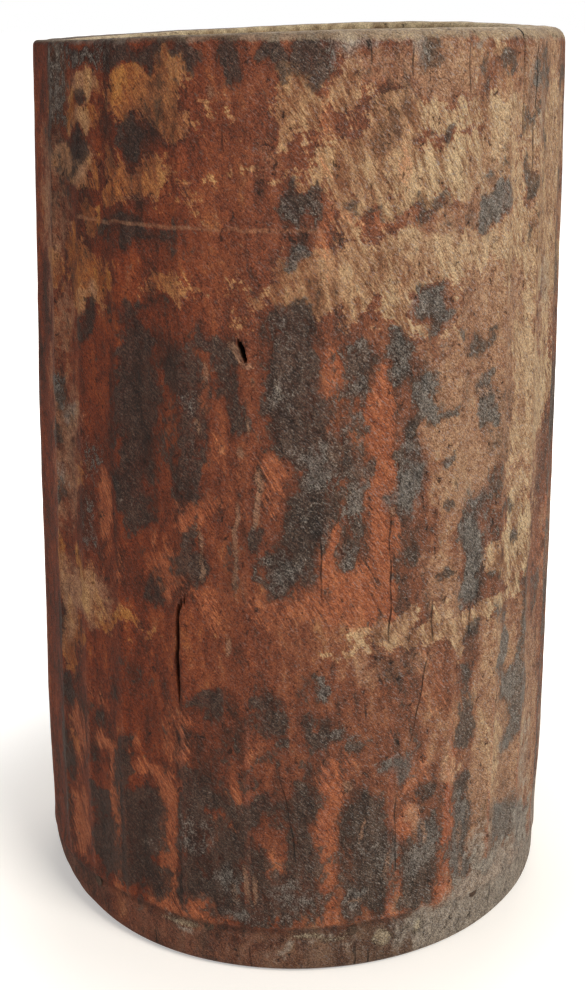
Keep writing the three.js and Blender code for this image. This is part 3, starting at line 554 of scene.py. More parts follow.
def marks_of_the_back():
    """The same kinds of marks round the side that the photograph doesn't show."""
    rng = random.Random(BACK_SEED)
    patina, worn, faded, ochre = [], [], [], []
    for start, end in zip(ARRIS_ANGLES[BACK_FIRST_ARRIS:], ARRIS_ANGLES[BACK_FIRST_ARRIS + 1:]):
        middle = (start + end) / 2
        half = (end - start) / 2
        # patina up the flute
        height = rng.uniform(25, 60)
        while height < 300:
            tall = rng.uniform(6, 24)
            side = middle + rng.uniform(-.3, .3) * half
            patina.append((side, height + tall, half * rng.uniform(.4, .85), tall, rng.uniform(.6, 1)))
            height += tall * rng.uniform(1.6, 3.2)
        # bare wood under the harness
        for band, spread in HARNESS_BANDS:
            if rng.random() < .85:
                side = middle + rng.uniform(-4, 4)
                tall = spread * rng.uniform(.5, 1.1)
                worn.append((side, band + rng.uniform(-5, 5), rng.uniform(5, 9), tall, rng.uniform(.6, 1)))
        # patina between the bands and under the rim, and a rubbed place lower down
        wide = half * .7
        patina.append((middle, rng.uniform(345, 356), wide, rng.uniform(4, 7), rng.uniform(.4, .9)))
        patina.append((middle, rng.uniform(402, 412), wide, rng.uniform(5, 9), rng.uniform(.3, .9)))
        side = middle + rng.uniform(-5, 5)
        worn.append((side, rng.uniform(160, 176), rng.uniform(3, 8), 4, rng.uniform(.2, .7)))
        # ochre along the arris, and ochre that faded
        ochre.append((
            start, rng.uniform(60, 250), rng.uniform(1.5, 3), rng.uniform(25, 60), rng.uniform(.4, .9),
        ))
        faded.append((
            middle, rng.uniform(40, 380), rng.uniform(7, 14), rng.uniform(15, 50), rng.uniform(.2, .5),
        ))
    return patina, worn, faded, ochre


def cut_depth(angle, height, cut):
    """How deep one of the openings goes at each place, in millimetres."""
    centre, low, high, width, depth, tilt, bow = cut
    middle = (low + high) / 2
    half = (high - low) / 2
    sideways = np.radians(turn_between(angle, centre)) * trunk_radius(height)
    lean = math.radians(tilt)
    along = (height - middle) * math.cos(lean) - sideways * math.sin(lean)
    across = (height - middle) * math.sin(lean) + sideways * math.cos(lean)
    # it bends, wavers a little on the way, and closes towards its ends
    bend = np.clip(along / half, 0, 1) ** 4 + 0.25 * np.clip(-along / half, 0, 1) ** 2
    wander = bow * bend + 0.25 * np.sin(along / 4.1) + 0.15 * np.sin(along / 1.7)
    half_width = np.clip(1 - (along / half) ** 2, 0, 1) ** 0.6 * width / 2
    inside = np.clip(1 - np.abs(across - wander) / np.maximum(half_width, 1e-6), 0, 1)
    return depth * inside ** 0.6


def hairline_fields(angle, height, lines):
    """How open the nearest hairline is, and the way across to it in millimetres with its sign, which
    lets the material draw the line finer than the mesh is."""
    nearest = np.full(angle.shape, 99.0)
    opened = np.zeros(angle.shape)
    for centre, low, high, *drift in lines:
        turn = (height - (low + high) / 2) / (high - low) * (drift[0] if drift else 0)
        # it follows the fibres, which wave slowly and quickly
        wander = 0.5 * np.sin(height / 9 + centre) + 0.3 * np.sin(height / 3.1 + 2 * centre)
        sideways = np.radians(turn_between(angle, centre + turn)) * trunk_radius(height) - wander
        ends = ease(low - 1, low + 3, height) * (1 - ease(high - 6, high + 1, height))
        closer = (ends > 0) & (np.abs(sideways) < np.abs(nearest))
        nearest = np.where(closer, sideways, nearest)
        known = 1 - ease(HAIRLINE_REACH_MM, HAIRLINE_LOST_MM, np.abs(sideways))
        opened = np.where(closer, ends * known, opened)
    return opened, nearest


def column_angles():
    """Angles of the mesh columns: fine in front, finest at the cuts, and wider behind."""
    front = list(np.arange(-FRONT_EDGE_ANGLE, FRONT_EDGE_ANGLE, FRONT_STEP))
    back = list(np.arange(FRONT_EDGE_ANGLE, 360 - FRONT_EDGE_ANGLE, BACK_STEP))
    angles = front + back
    for centre, _, _, _, _, tilt, bow in CUTS:
        # degrees to each side that a cut takes up, more where it leans or bends
        spread = 1.1 + tilt / 20 + bow / 5
        angles = [a for a in angles if abs(turn_between(np.array(a), centre)) > spread]
        angles += list(np.arange(centre - spread + 0.1, centre + spread, CUT_STEP))
    return np.array(sorted(angles))


def outer_heights():
    """Heights of the mesh rows on the outside, as shares from the foot band to the rim's shoulder,
    with more of them at the knot slit, which lie clear of the even ones."""
    rows = list(np.arange(0, 1, 1 / WALL_ROWS))
    clear = 0.0007
    _, low, high, *_ = KNOT_SLIT
    knot = range(int(low) - 2, int(high) + 4)
    return sorted(rows + [(h - BAND_HEIGHT_MM) / (POT_HEIGHT_MM - BAND_HEIGHT_MM) + clear for h in knot])


def trunk_mesh():
    """The trunk as one closed skin: up the outside, over the rim, down the bore, round the rebate."""
    angle = column_angles()
    rows_r, rows_z, rows_part = [], [], []

    def row(radius, height, part):
        rows_r.append(np.broadcast_to(radius, angle.shape).astype(float))
        rows_z.append(np.broadcast_to(height, angle.shape).astype(float))
        rows_part.append(part)

    lip = band_top(angle)
    rounding = rim_round(angle)
    under = foot_round(angle)
    shoulder = rim_height(angle) - rounding
    for step in range(FOOT_ROUND_ROWS + 1):
        turn = step / FOOT_ROUND_ROWS * math.pi / 2
        side = FOOT_RADIUS_MM - under * (1 - math.sin(turn))
        row(side, under * (1 - math.cos(turn)), "foot")
    for step in range(1, FOOT_BAND_ROWS):
        row(FOOT_RADIUS_MM, under + (lip - under) * step / FOOT_BAND_ROWS, "foot")
    for share in outer_heights():
        height = lip + (shoulder - lip) * share
        hollow = flute_hollow(angle, height)
        above_lip = ease(0, BAND_LIP_MM, height - lip)
        side = FOOT_RADIUS_MM + (trunk_radius(height) - hollow - FOOT_RADIUS_MM) * above_lip
        row(side, height, "wall")
    edge = trunk_radius(shoulder) - flute_hollow(angle, shoulder)
    for step in range(RIM_ROUND_ROWS + 1):
        turn = step / RIM_ROUND_ROWS * math.pi / 2
        side = edge - rounding * (1 - math.cos(turn))
        row(side, shoulder + rounding * math.sin(turn), "rim")
    mouth = bore_radius(rim_height(angle))
    inner_edge = mouth + RIM_INNER_ROUND_MM
    for step in range(1, RIM_FACE_ROWS):
        side = edge - rounding + (inner_edge - edge + rounding) * step / RIM_FACE_ROWS
        row(side, rim_height(angle), "rim")
    for step in range(MOUTH_ROWS + 1):
        turn = step / MOUTH_ROWS * math.pi / 2
        side = mouth + RIM_INNER_ROUND_MM * (1 - math.sin(turn))
        row(side, rim_height(angle) - RIM_INNER_ROUND_MM * (1 - math.cos(turn)), "mouth")
    floor = BASE_TOP_MM + FIT_MM
    for step in range(1, BORE_ROWS + 1):
        height = rim_height(angle) - RIM_INNER_ROUND_MM
        height = height + (floor - height) * (step / BORE_ROWS) ** 2
        row(bore_radius(height), height, "bore")
    row(REBATE_RADIUS_MM, floor, "rebate")
    row(REBATE_RADIUS_MM, REBATE_CHAMFER_MM, "rebate")
    row(REBATE_RADIUS_MM + REBATE_CHAMFER_MM, 0.0, "rebate")
    row(REBATE_RADIUS_MM + 2 * REBATE_CHAMFER_MM, 0.0, "rebate")

    radius = np.array(rows_r)
    height = np.array(rows_z)
    turn = np.broadcast_to(angle, radius.shape)
    part = np.array(rows_part)
    # the cuts reach over the rim's rounding only while it has drawn in by less than 1 mm
    outside = np.isin(part, ["foot", "wall", "rim"])[:, None] * (radius > edge - 1)
    for cut in CUTS:
        radius = radius - cut_depth(turn, height, cut) * outside
    radians = np.radians(turn)
    drift = LEAN_MM * np.clip(height - BASE_TOP_MM, 0, None) / (POT_HEIGHT_MM - BASE_TOP_MM)
    points = np.stack([radius * np.sin(radians) + drift, -radius * np.cos(radians), height], -1)
    marks = surface_marks(turn, height, part)
    return points.reshape(-1, 3) * MM, ring_faces(*radius.shape), marks


def ring_faces(rows, columns):
    """Quads that join a closed loop of rows round a closed loop of columns, facing outwards."""
    faces = []
    for j in range(rows):
        here = j * columns
        above = ((j + 1) % rows) * columns
        for i in range(columns):
            after = (i + 1) % columns
            faces.append((here + i, here + after, above + after, above + i))
    return faces


def adze_hollow(across, along):
    """Depth of the shallow overlapping cuts that an adze leaves, struck row by row along the board."""
    row = np.floor(across / ADZE_ROW_MM)
    stroke = (along / ADZE_STROKE_MM + ADZE_STAGGER * np.sin(2.3 * row)) % 1
    side = across / ADZE_ROW_MM % 1
    return ADZE_DEPTH_MM * 4 * side * (1 - side) * stroke


def board_mesh():
    """The base board as one closed skin: underside from the middle out, edge, top back to the middle."""
    angle = np.radians(np.arange(0, 360, BOARD_STEP))
    edge = REBATE_RADIUS_MM - FIT_MM
    sealed = bore_radius(BASE_TOP_MM) - SEAL_WIDTH_MM
    rings = np.linspace(BOARD_FIRST_RING_MM, edge - BASE_CHAMFER_MM, BOARD_RINGS)
    points = [(0.0, 0.0, BASE_RECESS_MM)]
    greasy = [0.0]

    def ring(radius, height, cut, inside):
        across, along = radius * np.sin(angle), -radius * np.cos(angle)
        kept = 1 - ease(sealed - ADZE_FADE_MM, sealed, radius)
        carved = cut * adze_hollow(across, along) * kept
        points.extend(zip(across, along, height + carved))
        greasy.extend([inside] * len(angle))

    for radius in rings:
        ring(radius, BASE_RECESS_MM, 1, 0.0)
    ring(edge, BASE_RECESS_MM + BASE_CHAMFER_MM, 0, 0.0)
    ring(edge, BASE_TOP_MM, 0, 0.0)
    for radius in rings[::-1]:
        dish = BASE_DISH_MM * (1 - min(radius / sealed, 1) ** 2)
        ring(radius, BASE_TOP_MM - dish, -1, 1.0)
    points.append((0.0, 0.0, BASE_TOP_MM - BASE_DISH_MM))
    greasy.append(1.0)

    columns = len(angle)
    rows = (len(points) - 2) // columns
    last = len(points) - 1
    faces = []
    for i in range(columns):
        after = (i + 1) % columns
        faces.append((0, 1 + after, 1 + i))
        faces.append((last, last - columns + i, last - columns + after))
        for j in range(rows - 1):
            here = 1 + j * columns
            faces.append((here + i, here + after, here + columns + after, here + columns + i))
    return np.array(points, float) * MM, faces, {"inside": greasy}


def wax_mesh():
    """The wax bead, pressed into the corner with a finger and thicker in some places than in others."""
    angle = np.arange(0, 360, WAX_STEP)
    lump = wandered(SEAL_FULLNESS, angle, 0 * angle, WAX_LUMPS)
    wall = bore_radius(BASE_TOP_MM) - FIT_MM
    width, rise = SEAL_WIDTH_MM * lump, SEAL_RISE_MM * lump
    rows = [(wall + 0 * lump, BASE_TOP_MM + 0 * lump), (wall + 0 * lump, BASE_TOP_MM + rise / 2)]
    for step in range(WAX_ROWS):
        along = step / (WAX_ROWS - 1)
        hollow = SEAL_HOLLOW_MM * math.sin(along * math.pi) * math.sqrt(0.5)
        rows.append((wall - width * along + hollow, BASE_TOP_MM + (rise - hollow) * (1 - along)))
    radius = np.array([row[0] for row in rows])
    height = np.array([row[1] for row in rows])
    radians = np.radians(angle)
    points = np.stack([radius * np.sin(radians), -radius * np.cos(radians), height], -1)
    return points.reshape(-1, 3) * MM, ring_faces(*radius.shape)


def surface_marks(angle, height, part):
    """The wear of each point of the trunk, by name, for the materials to read."""
    patina, worn, faded, ochre = marks_of_the_back()

    def on(*parts):
        return np.isin(part, parts)[:, None] & np.ones(angle.shape, bool)

    shown = on("foot", "wall", "rim")
    loose_angle = wandered(angle, angle, height, LOOSE_TURN)
    loose_height = wandered(height, angle, height, LOOSE_RISE)
    firm_angle = wandered(angle, angle, height, FIRM_TURN)
    fields = {
        "patina": mark_field(loose_angle, loose_height, PATINA_MARKS + patina),
        "bloom": mark_field(loose_angle, loose_height, BLOOM_MARKS),
        "worn": mark_field(loose_angle, loose_height, WORN_MARKS + worn),
        "faded": mark_field(loose_angle, loose_height, FADED_MARKS + faded),
        "ochre": mark_field(firm_angle, loose_height, OCHRE_MARKS + ochre),
        "streak_and_highlight": mark_field(firm_angle, height, STREAK_AND_HIGHLIGHT_MARKS),
    }
    fields["hairline"], fields["hairline_side"] = hairline_fields(angle, height, HAIRLINES)
    opened = sum(cut_depth(angle, height, cut) for cut in CUTS)
    fields["opening"] = np.clip(opened / OPENING_FULL_MM, 0, 1)
    over_band = height - band_top(angle)
    fields["band"] = 1 - ease(*BAND_ENDS_MM, wandered(over_band, angle, height, BAND_EDGE))
    fields["seam"] = np.clip(1 - np.abs(over_band - SEAM_OVER_BAND_MM) / SEAM_REACH_MM, 0, 1)
    over_rim = height - rim_height(angle)
    fields["rim_edge"] = ease(*RIM_EDGE_STARTS, over_rim / rim_round(angle))
    on_arris = 1 - ease(*ARRIS_ENDS, flute_section(angle))
    fields["arris"] = on_arris * (1 - ease(*ARRIS_TOP_MM, height))
    fields["dusty"] = mark_field(loose_angle, loose_height, DUST_MARKS)
    from_front = turn_between(angle, 0)
    scribed = SCRIBED_STRENGTH * ease(*SCRIBED_START, from_front)
    fields["scribed"] = scribed * (1 - ease(*SCRIBED_END, from_front))
    # paler towards the front right: partly sun bleaching and partly painted light from the right, with
    # painted shade on the left
    fields["bleached_and_lit"] = ease(*LIGHT_AND_BLEACH_STARTS, from_front) * (1 - ease(*LIGHT_AND_BLEACH_ENDS, from_front))
    for name in fields:
        fields[name] = np.where(shown, fields[name], 0.0)
    torn_edge = wandered(over_rim, angle, height, MOUTH_EDGE)
    fields["rim_face"] = np.where(on("rim"), ease(*RIM_FACE_STARTS_MM, over_rim), 0.0)
    fields["mouth"] = np.where(on("mouth", "bore"), ease(*MOUTH_STARTS_MM, torn_edge), 0.0)
    fields["inside"] = np.where(shown, 0.0, 1.0)
    return {name: np.asarray(values, float).reshape(-1) for name, values in fields.items()}


def make_object(name, points, faces, attributes=None, smooth=True):
    """A mesh object at the origin, with a value at each point for every attribute."""
    mesh = bpy.data.meshes.new(name)
    mesh.from_pydata(points.tolist() if hasattr(points, "tolist") else points, [], faces)
    mesh.update()
    for key, values in (attributes or {}).items():
        layer = mesh.attributes.new(key, "FLOAT", "POINT")
        layer.data.foreach_set("value", np.asarray(values, np.float32))
    if smooth:
        mesh.polygons.foreach_set("use_smooth", [True] * len(mesh.polygons))
    piece = bpy.data.objects.new(name, mesh)
    bpy.context.scene.collection.objects.link(piece)
    return piece


# Node trees


def add(tree, kind, links=None, out=0, **settings):
    """Adds one node with its settings, gives its inputs values or sockets, and returns an output."""
    node = tree.nodes.new(kind)
    for key, value in settings.items():
        setattr(node, key, value)
    for socket, value in (links or {}).items():
        if isinstance(value, bpy.types.NodeSocket):
            tree.links.new(value, node.inputs[socket])
        else:
            node.inputs[socket].default_value = value
    return node if out is None else node.outputs[out]


def new_material(name):
    """An empty material, and its node tree."""
    material = bpy.data.materials.new(name)
    material.use_nodes = True
    material.node_tree.nodes.clear()
    return material, material.node_tree


def grain(tree, width_mm, length=1.0, lean=0.0, detail=3.0, rough=0.6, twist=0.0, shift=0.0, flat=False):
    """Wood grain, centred on 0: grains width_mm wide, length times as long, upright and leaning by
    degrees round the trunk, or lying flat along a board."""
    place = add(tree, "ShaderNodeTexCoord", out="Object")
    if flat:
        quarter = math.radians(90)
        place = add(
            tree, "ShaderNodeVectorRotate", {"Vector": place, "Angle": quarter}, rotation_type="X_AXIS",
        )
    if lean:
        height = add(tree, "ShaderNodeSeparateXYZ", {0: place}, out=2)
        turn_per_metre = math.tan(math.radians(lean)) / (WIDEST_RADIUS_MM * MM)
        turn = add(tree, "ShaderNodeMath", {0: height, 1: -turn_per_metre}, operation="MULTIPLY")
        place = add(
            tree, "ShaderNodeVectorRotate", {"Vector": place, "Angle": turn}, rotation_type="Z_AXIS",
        )
    across = 1 / (width_mm * MM)
    scaled = add(
        tree, "ShaderNodeMapping",
        {"Vector": place, "Location": (shift, shift, shift), "Scale": (across, across, across / length)},
    )
    noise = add(
        tree, "ShaderNodeTexNoise",
        {"Vector": scaled, "Scale": 1.0, "Detail": detail, "Roughness": rough, "Distortion": twist},
    )
    return add(tree, "ShaderNodeMath", {0: noise, 1: 0.5}, operation="SUBTRACT")


def together(tree, *shares, start=0.0):
    """Adds several grains or masks, each with its share, to a starting value."""
    total = start
    for value, share in shares:
        total = add(tree, "ShaderNodeMath", {0: value, 1: share, 2: total}, operation="MULTIPLY_ADD")
    return total


def ragged(tree, mark, roughness, soft=0.12, edge=0.5):
    """A mask of one kind of mark, its outline torn by grain."""
    field = add(tree, "ShaderNodeAttribute", out="Fac", attribute_name=mark)
    torn = add(tree, "ShaderNodeMath", {0: field, 1: roughness}, operation="ADD")
    low, high = edge - soft, edge + soft
    return add(tree, "ShaderNodeMapRange", {0: torn, 1: low, 2: high}, interpolation_type="SMOOTHSTEP")


def coat(tree, under, mask, cover, dark, pale, noise, spread=0.14):
    """Lays a coat over a colour, through a mask, with the coat's own two tints mixed by a grain."""
    share = add(tree, "ShaderNodeMapRange", {0: noise, 1: -spread, 2: spread})
    tints = {0: share, 6: linear(dark), 7: linear(pale)}
    tint = add(tree, "ShaderNodeMix", tints, out=2, data_type="RGBA")
    amount = add(tree, "ShaderNodeMath", {0: mask, 1: cover}, operation="MULTIPLY", use_clamp=True)
    return add(tree, "ShaderNodeMix", {0: amount, 6: under, 7: tint}, out=2, data_type="RGBA")


def satin_skin(tree, colour, roughness, relief, relief_mm, specular=0.3):
    """Closes a material: colour, roughness, and relief whose full swing is relief_mm."""
    bump = add(tree, "ShaderNodeBump", {"Height": relief, "Distance": relief_mm * MM, "Strength": 1.0})
    surface = add(
        tree, "ShaderNodeBsdfPrincipled",
        {
            "Base Color": colour, "Roughness": roughness, "IOR": 1.5, "Specular IOR Level": specular,
            "Normal": bump,
        },
    )
    add(tree, "ShaderNodeOutputMaterial", {"Surface": surface}, out=None)


# Wood tones from blackened through ochred to rubbed bare: (wear, colour). The shaded tones paint
# shade on the left, and the lit and bleached tones paint light and sun bleaching on the front right.
SHADED_TONES = [
    (0.0, "#130e0b"), (0.16, "#291812"), (0.32, "#4a2110"), (0.48, "#702e14"), (0.62, "#883d1a"),
    (0.74, "#9a5221"), (0.86, "#ac6c2c"), (1.0, "#cd9850"),
]
LIT_AND_BLEACHED_TONES = [
    (0.0, "#1d1917"), (0.16, "#382c25"), (0.32, "#5c4031"), (0.48, "#825038"), (0.62, "#98684b"),
    (0.74, "#a7805d"), (0.86, "#b89670"), (1.0, "#dcc298"),
]


# The trunk's grains: (width in mm, length to width, lean in degrees, detail, roughness, twist,
# shift). Pores and fibres are 0.1 to 0.3 mm wide in the wood, which is too fine to show, so the
# finest grains are drawn 0.65 to 0.9 mm wide.
TRUNK_GRAINS = {
    "cloud": (32, 1.8, 0, 4, 0.55, 0.3, 0.31),
    "blot": (9, 1.7, 6, 5, 0.62, 0.5, 0.53),
    "crumb": (3.0, 1.4, 0, 4, 0.65, 0.6, 0.17),
    "speck": (0.65, 1.1, 0, 2, 0.8, 0.3, 0.71),
    "dust": (0.9, 1.5, -45, 2, 0.8, 0.3, 0.11),
    "hatch": (0.7, 3.5, -48, 2, 0.75, 0.4, 0.91),
    "strand": (1.5, 8, -30, 3, 0.65, 0.9, 0.23),
    "rub": (5, 0.45, 0, 4, 0.6, 0.6, 0.37),
    "stroke": (6, 5, -4, 4, 0.6, 0.3, 0.47),
}

# The trunk's fields that its material reads as they are
TRUNK_FIELDS = (
    "bleached_and_lit", "band", "rim_face", "inside", "mouth", "hairline", "hairline_side", "seam", "opening",
)


def ochred_hardwood():
    """Old open-grained tropical hardwood, gouged and rubbed with red ochre and fat: a satin red-brown
    skin with black greasy patina in the hollows, bare tan fibres where straps rubbed, a dusty foot
    and a rim paler at the right. The whole skin is paler towards the front right and darker at the
    left, partly from sun bleaching and partly as painted light and painted shade."""
    material, tree = new_material("ochred_hardwood")
    cloud, blot, crumb, speck, dust, hatch, strand, rub, stroke = [
        grain(tree, *sizes) for sizes in TRUNK_GRAINS.values()
    ]
    bleached_and_lit, band, rim_face, inside, mouth, hairline, side, seam, opening = [
        add(tree, "ShaderNodeAttribute", out="Fac", attribute_name=field) for field in TRUNK_FIELDS
    ]

    # the masks of the marks, their outlines torn by grain
    left = together(tree, (blot, 1.1), (crumb, 1.7), (speck, 0.8), (strand, 0.8))
    patina = ragged(tree, "patina", left, 0.15, 0.56)
    tear = together(tree, (rub, 1.3), (blot, 0.8), (crumb, 0.6), (strand, 1.0), (hatch, 0.4))
    worn = ragged(tree, "worn", tear, 0.14)
    thin = together(tree, (cloud, 2.0), (stroke, 2.0), (blot, 1.6), (crumb, 1.0), start=0.8)
    worn = add(tree, "ShaderNodeMath", {0: worn, 1: thin}, operation="MULTIPLY", use_clamp=True)
    bloom = ragged(tree, "bloom", together(tree, (crumb, 1.4), (speck, 1.4)), 0.2, 0.55)
    ochre = ragged(tree, "ochre", together(tree, (blot, 1.2), (strand, 1.2)), 0.2)
    faded = ragged(tree, "faded", together(tree, (cloud, 1.0), (blot, 1.2), (rub, 1.0)), 0.32)
    streak_and_highlight = ragged(tree, "streak_and_highlight", together(tree, (speck, 1.2)), 0.2)

    # how rubbed each place is: 0 black, 0.5 ochred, 1 bare
    wear = together(
        tree, (cloud, 0.7), (blot, 0.55), (crumb, 0.3), (stroke, 0.6), (speck, 0.25), (hatch, 0.2),
        (strand, 0.3), (patina, -0.14), (worn, 0.22), (ochre, 0.06), (faded, 0.08), start=0.48,
    )
    # two ramps of tones, the shaded one for painted shade on the left and the lit and bleached one for
    # painted light and sun bleaching on the front right, mixed by that field
    tones = []
    for stops in (SHADED_TONES, LIT_AND_BLEACHED_TONES):
        ramp = add(tree, "ShaderNodeValToRGB", {0: wear}, out=None)
        for spot, shade in stops[1:-1]:
            ramp.color_ramp.elements.new(spot).color = linear(shade)
        ramp.color_ramp.elements[0].color = linear(stops[0][1])
        ramp.color_ramp.elements[-1].color = linear(stops[-1][1])
        tones.append(ramp.outputs["Color"])
    colour = add(tree, "ShaderNodeMix", {0: bleached_and_lit, 6: tones[0], 7: tones[1]}, out=2, data_type="RGBA")

    # bare wood with a paler torn edge, paler still towards the front right from sun bleaching and painted
    # light, ochre, and ochre that has faded
    lip = ragged(tree, "worn", tear, 0.05, 0.42)
    lip = add(tree, "ShaderNodeMath", {0: lip, 1: worn}, operation="SUBTRACT", use_clamp=True)
    colour = coat(tree, colour, lip, 0.3, "#7a4a30", "#c79a6c", blot)
    bare = together(tree, (strand, 1.2), (hatch, 0.4), (stroke, 0.8), (blot, 0.5))
    colour = coat(tree, colour, worn, 0.5, "#7f451f", "#bb8047", bare)
    sunned_and_lit = add(tree, "ShaderNodeMath", {0: worn, 1: bleached_and_lit}, operation="MULTIPLY")
    colour = coat(tree, colour, sunned_and_lit, 0.7, "#8a6c50", "#d6bf9a", bare)
    brushed = together(tree, (strand, 0.7), (hatch, 0.5))
    colour = coat(tree, colour, ochre, 0.62, "#843c21", "#cf7d52", brushed)
    powdery = together(tree, (crumb, 0.7), (hatch, 0.4), (speck, 0.4))
    colour = coat(tree, colour, faded, 0.48, "#936b4e", "#c9a886", powdery)
    arris = ragged(tree, "arris", together(tree, (strand, 1.6)), 0.2, 0.6)
    colour = coat(tree, colour, arris, 0.35, "#8a4a36", "#bb7558", strand)

    # patina: a black crust, darkest at the left, where the darkening is painted shade as well as crust;
    # ashy and paler towards the front right from sun and painted light; with grey bloom, and pale
    # sparks of grit that show more on the lit side as painted light
    crust = together(tree, (crumb, 0.5), (speck, 0.8), (stroke, 0.6), (hatch, 0.6))
    flake = together(tree, (blot, 0.7), (crumb, 0.8), (stroke, 0.4))
    crust_cover = add(tree, "ShaderNodeMapRange", {0: flake, 1: -0.16, 2: 0.06, 3: 0.25, 4: 0.92})
    crusted = add(tree, "ShaderNodeMath", {0: patina, 1: crust_cover}, operation="MULTIPLY")
    colour = coat(tree, colour, crusted, 0.92, "#150e0b", "#52372a", crust, 0.17)
    # painted shade: the crust darker still towards the left, away from the light
    deep = together(tree, (bleached_and_lit, -1.0), start=0.9)
    deep = add(tree, "ShaderNodeMath", {0: crusted, 1: deep}, operation="MULTIPLY", use_clamp=True)
    colour = coat(tree, colour, deep, 0.55, "#120b08", "#35211a", crust, 0.17)
    ashy_and_lit = together(tree, (bleached_and_lit, 0.85), (blot, 0.8))
    ashy_and_lit = add(tree, "ShaderNodeMath", {0: crusted, 1: ashy_and_lit}, operation="MULTIPLY", use_clamp=True)
    colour = coat(tree, colour, ashy_and_lit, 0.58, "#2d2721", "#7c7063", crust, 0.2)
    greyed = together(tree, (speck, 0.9), (crumb, 0.6), (hatch, 0.7), (blot, 0.5))
    colour = coat(tree, colour, bloom, 0.45, "#33302c", "#9c978e", greyed, 0.24)
    sparks = together(tree, (dust, 1.0), (speck, 0.5))
    sparks = add(tree, "ShaderNodeMapRange", {0: sparks, 1: 0.11, 2: 0.17})
    scattered = together(tree, (crumb, 1.0), (blot, 1.0))
    scattered = add(tree, "ShaderNodeMapRange", {0: scattered, 1: -0.1, 2: 0.2})
    scattered = add(tree, "ShaderNodeMath", {0: scattered, 1: patina}, operation="MULTIPLY")
    lit = together(tree, (bleached_and_lit, 0.9), start=0.35)
    scattered = add(tree, "ShaderNodeMath", {0: scattered, 1: lit}, operation="MULTIPLY", use_clamp=True)
    sparks = add(tree, "ShaderNodeMath", {0: sparks, 1: scattered}, operation="MULTIPLY")
    colour = coat(tree, colour, sparks, 0.42, "#6a5a4c", "#a39a88", bleached_and_lit, 0.6)
    # pale streaks, some of them painted highlights on the raised edges of flakes
    colour = coat(tree, colour, streak_and_highlight, 0.6, "#7a5240", "#bd9474", hatch)

    # the pale line scribed round the front
    place = add(tree, "ShaderNodeTexCoord", out="Object")
    height = add(tree, "ShaderNodeSeparateXYZ", {0: place}, out=2)
    off_line = together(tree, (height, 1.0), (blot, 0.004), start=-SCRIBED_HEIGHT)
    off_line = add(tree, "ShaderNodeMath", {0: off_line}, operation="ABSOLUTE")
    scribed = add(
        tree, "ShaderNodeMapRange", {0: off_line, 1: SCRIBED_CORE, 2: SCRIBED_EDGE, 3: 1.0, 4: 0.0},
    )
    kept = ragged(tree, "scribed", crumb)
    scribed = add(tree, "ShaderNodeMath", {0: scribed, 1: kept}, operation="MULTIPLY")
    colour = coat(tree, colour, scribed, 0.5, "#7d4832", "#b58260", crumb)

    # the foot band: grimy, dusty and chipped, and greyer towards the front right, partly grime and partly
    # painted light
    band_tone = together(tree, (blot, 1.0), (speck, 0.6))
    colour = coat(tree, colour, band, 0.45, "#2b1a13", "#7b5643", band_tone)
    grimy_and_lit = together(tree, (bleached_and_lit, 1.2), (blot, 1.0))
    grimy_and_lit = add(tree, "ShaderNodeMath", {0: band, 1: grimy_and_lit}, operation="MULTIPLY", use_clamp=True)
    colour = coat(tree, colour, grimy_and_lit, 0.7, "#3b2f26", "#71604f", band_tone)
    dusty = ragged(tree, "dusty", together(tree, (blot, 1.2), (crumb, 1.0)), 0.25)
    gritty = together(tree, (crumb, 0.7), (speck, 0.7))
    colour = coat(tree, colour, dusty, 0.75, "#766a5e", "#b3a797", gritty)
    chipped = add(tree, "ShaderNodeMath", {0: band, 1: streak_and_highlight}, operation="MULTIPLY")
    splintered = together(tree, (speck, 1.0), (crumb, 1.0))
    colour = coat(tree, colour, chipped, 0.7, "#7c6a54", "#b9a98c", splintered)

    # the rim, paler at the right from sun bleaching and painted light and darker at the left as painted
    # shade, and the inside, darker than its pale mouth from grease and from painted shade deep in the
    # hollow
    rim_edge = ragged(tree, "rim_edge", together(tree, (blot, 1.6), (strand, 1.0)), 0.3, 0.6)
    scuffed_and_lit = together(tree, (blot, 0.9), (bleached_and_lit, 0.3), start=-0.15)
    colour = coat(tree, colour, rim_edge, 0.5, "#3a2d24", "#9c9084", scuffed_and_lit)
    sunned_and_lit = add(tree, "ShaderNodeMath", {0: rim_edge, 1: bleached_and_lit}, operation="MULTIPLY")
    hatched = together(tree, (blot, 0.6), (hatch, 0.5))
    colour = coat(tree, colour, sunned_and_lit, 0.85, "#8f7458", "#c2aa86", hatched)
    colour = coat(tree, colour, rim_face, 1.0, "#3d3024", "#7d664c", crumb)
    sunned_and_lit = add(tree, "ShaderNodeMath", {0: rim_face, 1: bleached_and_lit}, operation="MULTIPLY")
    colour = coat(tree, colour, sunned_and_lit, 1.0, "#987b5c", "#cdb48f", crumb)
    # below the pale mouth the bore is darker brown: grease, and painted shade deeper in the hollow
    greasy = together(tree, (stroke, 1.0), (blot, 0.5), (hatch, 0.3))
    colour = coat(tree, colour, inside, 1.0, "#57351c", "#98693c", greasy)
    scraped = together(tree, (stroke, 1.0), (crumb, 0.4))
    colour = coat(tree, colour, mouth, 1.0, "#9d8462", "#cdb791", scraped)

